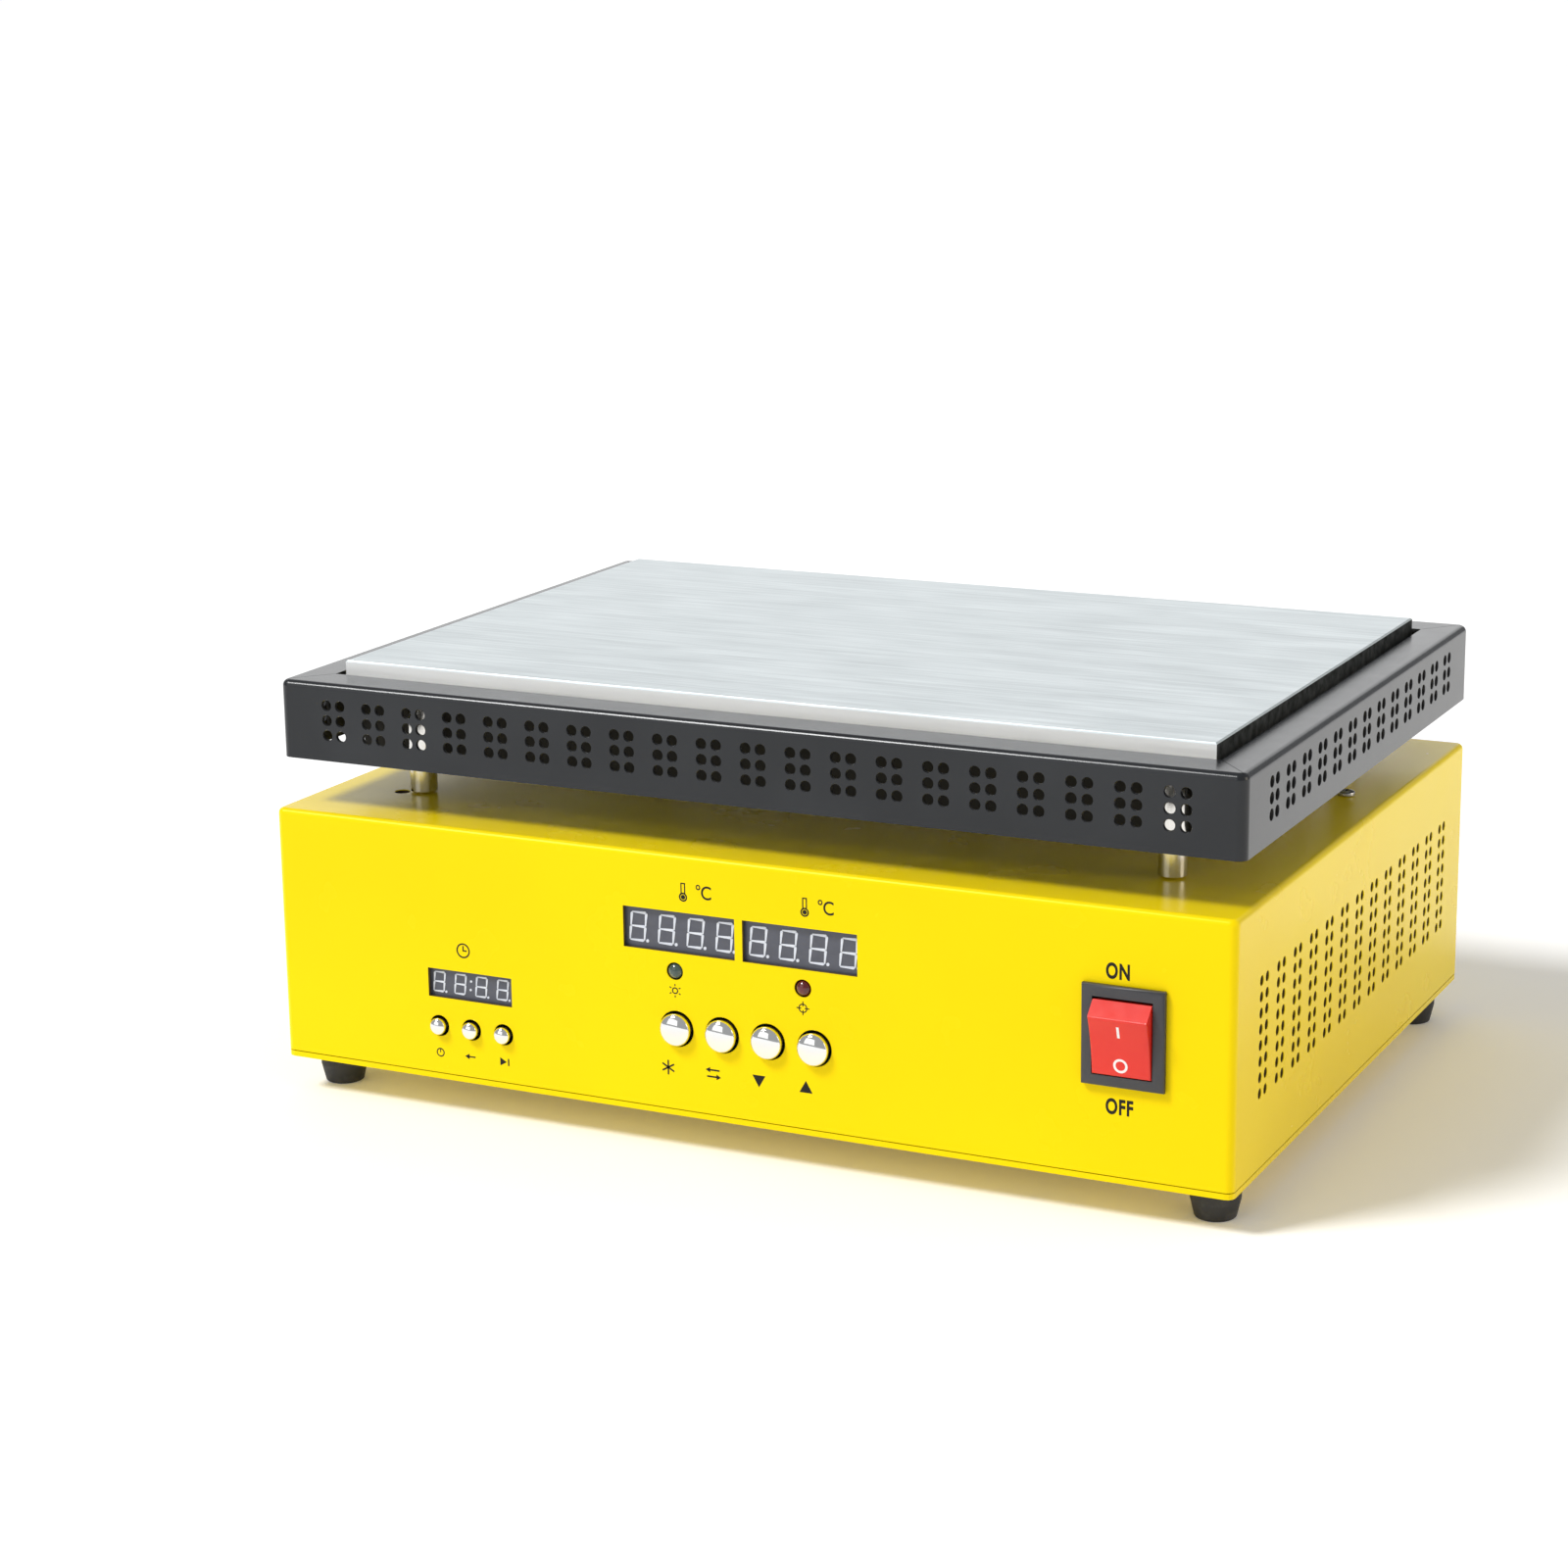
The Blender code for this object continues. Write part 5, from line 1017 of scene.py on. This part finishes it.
# %% Rocker
SWITCH_JOINT = next(joint for joint in frame["joints"] if joint["name"] == "switch_on")
PIVOT = Vector(SWITCH_JOINT["pos_m"])
TILT = math.radians(12.5)
RIDGE_RADIUS = 14.3 * MM
RIDGE_ANGLE = math.radians(41)
RIDGE_Y = -RIDGE_RADIUS * math.cos(RIDGE_ANGLE)
RIDGE_Z = RIDGE_RADIUS * math.sin(RIDGE_ANGLE)
RIDGE_ROUND = 0.3 * MM
BOW = 0.66 * MM
BOW_STEPS = 20
ROCKER_WIDTH = 18.4 * MM
ROCKER_SIDE = [Vector((-5.4, 12.6)) * MM, Vector((-1.0, 11.3)) * MM, Vector((3.0, 6.0)) * MM]
ROCKER_ROUND = 0.5 * MM
FACE_Y = ROCKER_SIDE[0].x - 0.3 * MM
PIN_RADIUS = 1.5 * MM
PIVOT_LENGTH = 21 * MM


def bow(z):
    share = z / RIDGE_Z
    return RIDGE_Y + BOW * (1 - share * share)


def tilt_into_place(mesh):
    place = Matrix.Translation(PIVOT) @ Matrix.Rotation(TILT, 4, "X")
    bmesh.ops.transform(mesh, matrix=place, verts=mesh.verts)


def raised_verts(grown):
    return [item for item in grown["geom"] if isinstance(item, bmesh.types.BMVert)]


levels = [RIDGE_Z * (2 * step / BOW_STEPS - 1) for step in range(BOW_STEPS + 1)]
outline = [(bow(z), z) for z in levels]
outline += [(point.x, point.y) for point in ROCKER_SIDE]
outline += [(point.x, -point.y) for point in reversed(ROCKER_SIDE)]
mesh = bmesh.new()
side = mesh.faces.new([mesh.verts.new((-ROCKER_WIDTH / 2, y, z)) for y, z in outline])
grown = bmesh.ops.extrude_face_region(mesh, geom=[side])
bmesh.ops.translate(mesh, vec=(ROCKER_WIDTH, 0, 0), verts=raised_verts(grown))
bmesh.ops.recalc_face_normals(mesh, faces=mesh.faces)
rim = [edge for edge in mesh.edges if max(vert.co.y for vert in edge.verts) < FACE_Y
       and edge.calc_face_angle() > math.radians(80)]
round_edges(mesh, rim, ROCKER_ROUND, 4)
ridges = [edge for edge in mesh.edges if edge.calc_face_angle(0) > math.radians(25)
          and all(abs(abs(vert.co.z) - RIDGE_Z) < 0.05 * MM and vert.co.y < FACE_Y for vert in edge.verts)]
round_edges(mesh, ridges, RIDGE_ROUND, 3)
bmesh.ops.create_cone(mesh, cap_ends=True, segments=24, radius1=PIN_RADIUS, radius2=PIN_RADIUS,
                      depth=PIVOT_LENGTH, matrix=TO_RIGHT)
tilt_into_place(mesh)
rocker = stand_for(make_piece("rocker_moulding", mesh, red_plastic), "rocker")
print("rocker faces", len(rocker.data.polygons))

# %% [markdown]
# Printed marks are thin plates of ink that stand a few hundredths of a millimetre proud. A bar is a
# narrow grid, a ring is two circles joined by a bridge, and a triangle is a circle of three sides.
# They are drawn flat, in X and Z, and then given a thickness along Y.

# %% Flat mark helpers
def flat_at(centre, turn=0.0):
    """Stands a flat shape up in X and Z, turned about its centre."""
    return Matrix.Translation((centre[0], 0, centre[1])) @ Matrix.Rotation(turn, 4, "Y") @ TO_FRONT


def add_bar(mesh, start, end, width):
    line = Vector(end) - Vector(start)
    place = flat_at((Vector(start) + Vector(end)) / 2, -math.atan2(line.y, line.x))
    bmesh.ops.create_grid(mesh, x_segments=8, y_segments=1, size=0.5,
                          matrix=place @ Matrix.Diagonal((line.length, width, 1, 1)))


def add_disc(mesh, centre, radius, sides=24, turn=0.0):
    bmesh.ops.create_circle(mesh, cap_ends=True, segments=sides, radius=radius,
                            matrix=flat_at(centre, turn))


def add_ring(mesh, centre, outer, inner, sides=32):
    edges = []
    for radius in (outer, inner):
        made = bmesh.ops.create_circle(mesh, segments=sides, radius=radius,
                                       matrix=flat_at(centre))["verts"]
        edges += list({edge for vert in made for edge in vert.link_edges})
    bmesh.ops.bridge_loops(mesh, edges=edges)


def thicken(mesh, depth):
    """Gives flat marks a back and a rim, with their front at Y = -depth."""
    grown = bmesh.ops.extrude_face_region(mesh, geom=list(mesh.faces))
    bmesh.ops.translate(mesh, vec=(0, -depth, 0), verts=raised_verts(grown))


# %% [markdown]
# A ring for OFF and a bar for ON are printed on the rocker, as on any mains switch. The bow of the
# rocker is known, so the points of the flat marks are dropped onto the same curve before the tilt.

# %% Rocker marks
OFF_RING = (2.25 * MM, 1.5 * MM)
OFF_HEIGHT = -6.0 * MM
ON_BAR = 1.9 * MM
ON_HEIGHT = 5.2 * MM
ON_WIDTH = 0.8 * MM
MARK_PROUD = 0.03 * MM

mesh = bmesh.new()
add_ring(mesh, (0, OFF_HEIGHT), *OFF_RING)
add_bar(mesh, (0, ON_HEIGHT - ON_BAR), (0, ON_HEIGHT + ON_BAR), ON_WIDTH)
thicken(mesh, MARK_PROUD * 2)
for vert in mesh.verts:
    vert.co.y += bow(vert.co.z) + MARK_PROUD
tilt_into_place(mesh)
marks = add_to(make_piece("rocker_marks", mesh, mark_white), "rocker")
print("rocker marks", len(marks.data.polygons))

# %% [markdown]
# A seven-segment digit is seven bars with pointed ends and a dot. One segment is a circle of six sides
# that is pulled apart to its length. The digits lean a little, which is a shear of X by Z. All the
# segments are lit by the room only, because the platform is switched off.

# %% Digits
SEGMENT_LEAN = 0.10
SEGMENT_PROUD = 0.12 * MM
MARGIN = 0.2 * MM
DIGIT_COUNT = 4
LARGE_DIGIT = (6.0 * MM, 10.0 * MM, 0.9 * MM)
SMALL_DIGIT = (4.5 * MM, 7.2 * MM, 0.7 * MM)


def add_segment(mesh, centre, length, stroke, upright):
    verts = bmesh.ops.create_circle(mesh, cap_ends=True, segments=6, radius=stroke / 2)["verts"]
    for vert in verts:
        vert.co.x += math.copysign((length - stroke) / 2, vert.co.x)
    turn = math.radians(-90 if upright else 0)
    bmesh.ops.transform(mesh, matrix=flat_at(centre, turn), verts=verts)


def add_digit(mesh, left, width, height, stroke):
    """Segments of a digit 8 whose outline is width by height, about the middle of the height."""
    across = width - stroke * 1.12
    tall = height / 2 - stroke * 0.62
    end = (height - stroke) / 2
    for z in (-end, 0, end):
        add_segment(mesh, (left + width / 2, z), across, stroke, False)
    for z in (-end / 2, end / 2):
        for x in (left + stroke / 2, left + width - stroke / 2):
            add_segment(mesh, (x, z), tall, stroke, True)


def digits(name, node, start, pitch, size, dots, colon):
    low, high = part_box(node)
    width, height, stroke = size
    mesh = bmesh.new()
    for place in range(DIGIT_COUNT):
        left = start + place * pitch
        add_digit(mesh, left, width, height, stroke)
        if place in dots:
            add_disc(mesh, (left + width + stroke * 0.75, stroke * 0.6 - height / 2), stroke * 0.6, 14)
    if colon:
        for z in (-height * 0.2, height * 0.2):
            add_disc(mesh, (start + 2 * pitch - (pitch - width) / 2, z), stroke * 0.6, 14)
    thicken(mesh, SEGMENT_PROUD)
    shear = Matrix.Identity(4)
    shear[0][2] = SEGMENT_LEAN
    place = Matrix.Translation((low.x + DISPLAY_EDGE, low.y, (low.z + high.z) / 2))
    bmesh.ops.transform(mesh, matrix=place @ shear, verts=mesh.verts)
    bmesh.ops.bisect_plane(mesh, geom=mesh.verts[:] + mesh.edges[:] + mesh.faces[:],
                           plane_co=(high.x - MARGIN, 0, 0), plane_no=(1, 0, 0), clear_outer=True)
    add_to(make_piece(name, mesh, segment_white), node)


digits("actual_digits", "actual_display", 1.5 * MM, 10.1 * MM, LARGE_DIGIT, (0, 1, 2, 3), False)
digits("setpoint_digits", "setpoint_display", 1.7 * MM, 10.25 * MM, LARGE_DIGIT, (0, 1, 2, 3), False)
digits("timer_digits", "timer_display", 1.0 * MM, 7.9 * MM, SMALL_DIGIT, (0, 2, 3), True)
print("digits", DIGIT_COUNT * len(DISPLAYS))

# %% [markdown]
# The panel is screen printed. ON and OFF are words that any switch has, and the two temperature
# displays show degrees Celsius. A word is a text curve that becomes a mesh, is made narrower than its
# font, and is laid on the panel as a film of ink.

# %% Words on the panel
INK_PROUD = 0.04 * MM
INK_AIR = 0.01 * MM
CAPITAL_SHARE = 0.70
WORD_HEIGHT = 4.6 * MM
UNIT_HEIGHT = 4.3 * MM


def print_on_panel(name, mesh):
    """Moves a flat drawing, in panel coordinates, onto the front of the housing."""
    thicken(mesh, INK_PROUD)
    bmesh.ops.translate(mesh, vec=(0, FRONT + INK_AIR, UNDERSIDE), verts=mesh.verts)
    add_to(make_piece(name, mesh, ink), "housing_shell")


def words(name, text, centre, height, spacing, weight, narrow):
    curve = bpy.data.curves.new(name, "FONT")
    curve.body = text
    curve.align_x = "CENTER"
    curve.align_y = "CENTER"
    curve.size = height / CAPITAL_SHARE
    curve.space_character = spacing
    curve.offset = height * weight
    holder = bpy.data.objects.new(name + "_text", curve)
    bpy.context.scene.collection.objects.link(holder)
    bpy.context.view_layer.update()
    flat = bpy.data.meshes.new_from_object(holder.evaluated_get(bpy.context.evaluated_depsgraph_get()))
    bpy.data.objects.remove(holder)
    mesh = bmesh.new()
    mesh.from_mesh(flat)
    bmesh.ops.remove_doubles(mesh, verts=mesh.verts, dist=MERGE_DISTANCE)
    place = flat_at(centre) @ Matrix.Diagonal((narrow, 1, 1, 1))
    bmesh.ops.transform(mesh, matrix=place, verts=mesh.verts)
    print_on_panel(name, mesh)


words("print_on", "ON", (128.8 * MM, 65.3 * MM), WORD_HEIGHT, 1.12, 0.05, 0.7)
words("print_off", "OFF", (129.6 * MM, 23.6 * MM), WORD_HEIGHT, 1.12, 0.05, 0.7)
words("print_actual_unit", "°C", (-7.4 * MM, 73.6 * MM), UNIT_HEIGHT, 0.9, 0.012, 0.9)
words("print_setpoint_unit", "°C", (34.4 * MM, 73.6 * MM), UNIT_HEIGHT, 0.9, 0.012, 0.9)
print("words", 4)

# %% [markdown]
# The other printed places hold plain signs for what they mark. They are drawn in millimetres from the
# middle of the panel and from the underside of the box, as a sign maker would, and scaled to metres
# when they are printed. A thermometer stands above each temperature display.

# %% Thermometer signs
THERMOMETER_LEVEL = 73.4
THERMOMETER_PLACES = (-14.5, 27.3)


def print_sign(name, mesh):
    bmesh.ops.scale(mesh, vec=(MM, MM, MM), verts=mesh.verts)
    print_on_panel(name, mesh)


def add_thermometer(mesh, x, z):
    bulb = (x, z - 1.7)
    add_ring(mesh, bulb, 1.45, 0.95, 24)
    add_disc(mesh, bulb, 0.75, 16)
    for side in (-0.62, 0.62):
        add_bar(mesh, (x + side, z - 0.5), (x + side, z + 2.6), 0.4)
    add_bar(mesh, (x - 0.8, z + 2.7), (x + 0.8, z + 2.7), 0.4)


mesh = bmesh.new()
for x in THERMOMETER_PLACES:
    add_thermometer(mesh, x, THERMOMETER_LEVEL)
print_sign("print_thermometers", mesh)
print("thermometers", len(THERMOMETER_PLACES))

# %% [markdown]
# Below the four large buttons stand an asterisk, a pair of arrows that swap, and a triangle each for
# down and up. An arrow is a bar with a triangle at its tip, and the triangle's own turn points it.

# %% Signs below the buttons
STROKE = 0.55
LEFTWARD = math.radians(-90)
RIGHTWARD = math.radians(90)
DOWNWARD = math.radians(180)


def add_rays(mesh, centre, count, first, start, end, width):
    """Bars that lie on lines through the centre, evenly turned from a first angle in degrees."""
    for ray in range(count):
        angle = math.radians(first + 360 * ray / count)
        outward = Vector((math.cos(angle), math.sin(angle)))
        add_bar(mesh, Vector(centre) + outward * start, Vector(centre) + outward * end, width)


def add_arrow(mesh, tail, tip, width):
    """A straight arrow along X."""
    side = math.copysign(1, tip[0] - tail[0])
    add_bar(mesh, tail, tip, width)
    add_disc(mesh, (tip[0] + side * width * 0.6, tip[1]), width * 1.9, 3, side * RIGHTWARD)


mesh = bmesh.new()
add_rays(mesh, (-21, 15.5), 3, 30, -2.4, 2.4, STROKE)
print_sign("print_asterisk", mesh)

mesh = bmesh.new()
add_arrow(mesh, (-2.9, 16.7), (-6.4, 16.7), STROKE)
add_arrow(mesh, (-7.3, 14.5), (-3.8, 14.5), STROKE)
print_sign("print_swap", mesh)

mesh = bmesh.new()
add_disc(mesh, (10.8, 15.9), 2.6, 3, DOWNWARD)
add_disc(mesh, (27.0, 15.1), 2.6, 3)
print_sign("print_triangles", mesh)
print("signs below the buttons", len(BUTTONS))

# %% [markdown]
# A clock stands above the timer. Its three buttons are marked by a small clock for setting, an arrow
# back for reset, and a triangle with a bar for start and stop. Under the lamps stand a small sun for
# the status lamp and a cross in a ring, as on a sight, for the calibration lamp.

# %% Signs of the timer and the lamps
CLOCK = (-95, 44.6)
SET_SIGN = (-105, 9.0)
SUN = (-18, 41.0)
CROSS = (26.3, 41.0)

mesh = bmesh.new()
add_ring(mesh, CLOCK, 2.5, 2.0)
add_bar(mesh, (-95, 44.4), (-95, 46.2), 0.45)
add_bar(mesh, (-95.2, 44.6), (-93.7, 44.6), 0.45)
print_sign("print_clock", mesh)

mesh = bmesh.new()
add_ring(mesh, SET_SIGN, 1.5, 1.1)
add_bar(mesh, SET_SIGN, (-105, 10.1), 0.35)
add_bar(mesh, (-94.6, 9.0), (-91.8, 9.0), 0.45)
add_disc(mesh, (-94.6, 9.0), 1.1, 3, LEFTWARD)
add_disc(mesh, (-81.7, 9.0), 1.6, 3, RIGHTWARD)
add_bar(mesh, (-79.4, 7.8), (-79.4, 10.2), 0.5)
print_sign("print_timer_signs", mesh)

mesh = bmesh.new()
add_ring(mesh, SUN, 1.1, 0.7, 20)
add_rays(mesh, SUN, 6, 30, 1.5, 2.2, 0.35)
add_ring(mesh, CROSS, 1.5, 1.15, 24)
add_rays(mesh, CROSS, 4, 0, 0.6, 2.2, 0.35)
print_sign("print_lamp_signs", mesh)
print("signs of the timer", len(TIMER_BUTTONS), "and of the lamps", len(LAMPS))

# %% [markdown]
# Cables, leads and the round fittings already have their final form, but their solids are made of flat
# facets. A copy whose equal points are merged can be shaded smooth, so that a cable looks round.

# %% Smooth copies
def smooth_copy(node):
    mesh = bmesh.new()
    mesh.from_mesh(frame["nodes"][node].data)
    bmesh.ops.transform(mesh, matrix=frame["nodes"][node].matrix_world, verts=mesh.verts)
    stand_for(make_piece(f"{node}_smooth", mesh, FINISHES[SLOT_OF[node]]), node)


for place in ("left", "middle", "right"):
    smooth_copy(f"heater_lead_{place}")
    smooth_copy(f"heater_cartridge_{place}")
for node in ("thermocouple_cable", "thermocouple_probe", "supply_cable", "mains_cable", "control_cable",
             "cable_grommet", "switch_body"):
    smooth_copy(node)

# %% [markdown]
# The mains inlet is a moulded socket with a flange. It is built again here so that its three pins can
# be metal. The flange has rounded corners and a softened face, and the socket's upper corners are cut
# off as the standard has it.

# %% Power inlet
FLANGE_SIZE = Vector((35, 28)) * MM
FLANGE_THICKNESS = 2.6 * MM
FLANGE_CORNER = 3 * MM
FLANGE_ROUND = 0.6 * MM
INLET_BODY = Vector((28, 20.4)) * MM
INLET_DEPTH = 22 * MM
SOCKET = Vector((24.4, 16.8)) * MM
SOCKET_DEPTH = 16 * MM
SOCKET_CUT = 4.5 * MM

inlet_low, inlet_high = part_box("power_inlet")
inlet_face = inlet_high.y
seat = inlet_face - FLANGE_THICKNESS
mesh = bmesh.new()
add_window(mesh, inlet_centre, FLANGE_SIZE, seat, inlet_face)
round_edges(mesh, edges_along(mesh, 1), FLANGE_CORNER, 6)
round_edges(mesh, edges_level(mesh, 1, inlet_face), FLANGE_ROUND, 3)
add_window(mesh, inlet_centre, INLET_BODY, inlet_face - INLET_DEPTH, seat)
inlet = make_piece("moulded_inlet", mesh, dark_plastic)
mesh = bmesh.new()
add_window(mesh, inlet_centre, SOCKET, inlet_face - SOCKET_DEPTH, inlet_face + SHEET)
upper = [edge for edge in edges_along(mesh, 1) if edge.verts[0].co.z > inlet_centre.z]
round_edges(mesh, upper, SOCKET_CUT, 1)
cut_away(inlet, mesh)
shade(inlet.data)
stand_for(inlet, "power_inlet")
print("inlet faces", len(inlet.data.polygons))

# %% [markdown]
# The three pins are flat blades of plated metal that run through the socket's floor and carry the
# wires behind it. Only their ends are chamfered, where a plug slides over them.

# %% Inlet pins
PIN_SECTION = Vector((2, 4)) * MM
PIN_LENGTH = 14 * MM
PIN_PLACES = ((-7, -2), (0, 2), (7, -2))
PIN_CHAMFER = 0.4 * MM

pin_end = inlet_face - SOCKET_DEPTH + PIN_LENGTH
mesh = bmesh.new()
for x, z in PIN_PLACES:
    add_window(mesh, inlet_centre + Vector((x, 0, z)) * MM, PIN_SECTION, inlet_low.y, pin_end)
round_edges(mesh, edges_level(mesh, 1, pin_end), PIN_CHAMFER, 2)
pins = add_to(make_piece("inlet_pins", mesh, steel), "power_inlet")
print("inlet pins", len(PIN_PLACES))

# %% [markdown]
# The stage is a pale floor in an even white room, which is what polished metal mirrors. The room's
# strength depends on the kind of ray, so that the background is white and the object is still lit at
# a plain level. The floor glows very faintly, which hides its far edge against the white.

# %% Floor and room
FLOOR_SIZE = 40.0
ROOM_COLOUR = (0.97, 0.985, 1, 1)
ROOM_STRENGTH = 0.40

mesh = bmesh.new()
bmesh.ops.create_grid(mesh, x_segments=1, y_segments=1, size=FLOOR_SIZE / 2)
paper = Finish("pale_floor", (0.98, 0.98, 0.98), 0.9)
paper.give("Specular IOR Level", 0.0)
paper.give("Emission Color", WHITE)
paper.give("Emission Strength", 0.06)
paper.paint(paper.noise(6, 2), (0.97, 0.97, 0.97))
make_piece("floor", mesh, paper)

world = bpy.data.worlds.new("studio")
bpy.context.scene.world = world
world.use_nodes = True
nodes = world.node_tree.nodes
links = world.node_tree.links
room = nodes["Background"]
white = nodes.new("ShaderNodeBackground")
for background, colour, strength in ((room, ROOM_COLOUR, ROOM_STRENGTH), (white, WHITE, 1.0)):
    background.inputs["Color"].default_value = colour
    background.inputs["Strength"].default_value = strength
path = nodes.new("ShaderNodeLightPath")
either = nodes.new("ShaderNodeMixShader")
links.new(path.outputs["Is Camera Ray"], either.inputs[0])
links.new(room.outputs[0], either.inputs[1])
links.new(white.outputs[0], either.inputs[2])
links.new(either.outputs[0], nodes["World Output"].inputs[0])
print("room strength", ROOM_STRENGTH)

# %% [markdown]
# A broad sun from the front left is the key, as from a large window, so the front panel is bright and
# the right side falls off. Three soft boxes give the metal something to mirror: one before the panel,
# one behind the plate, and a warm one at the right that brings out the yellow side.

# %% Lamps
SUN_POWER = 2.4
SUN_SPREAD = math.radians(16)
SOFT_BOXES = (
    ("front_softbox", 5, (-0.9, -1.9, 0.75), (1.6, 1.1), (1, 1, 1)),
    ("rear_softbox", 12, (-1.1, 2.2, 0.95), (3.2, 1.5), (1, 1, 1)),
    ("side_softbox", 12, (2.2, 0.2, 0.8), (1.2, 1.2), (1.0, 0.88, 0.72)))


def aimed_lamp(name, kind, power, place, target):
    data = bpy.data.lights.new(name, kind)
    data.energy = power
    lamp = bpy.data.objects.new(name, data)
    bpy.context.scene.collection.objects.link(lamp)
    aim = (target - Vector(place)).to_track_quat("-Z", "Y")
    lamp.matrix_world = Matrix.Translation(place) @ aim.to_matrix().to_4x4()
    return data


sun = aimed_lamp("window_light", "SUN", SUN_POWER, (-0.50, -0.50, 0.85), Vector((0, 0, 0)))
sun.angle = SUN_SPREAD
for name, power, place, size, colour in SOFT_BOXES:
    box = aimed_lamp(name, "AREA", power, place, plate_middle)
    box.shape = "RECTANGLE"
    box.size, box.size_y = size
    box.color = colour
print("lamps", 1 + len(SOFT_BOXES))
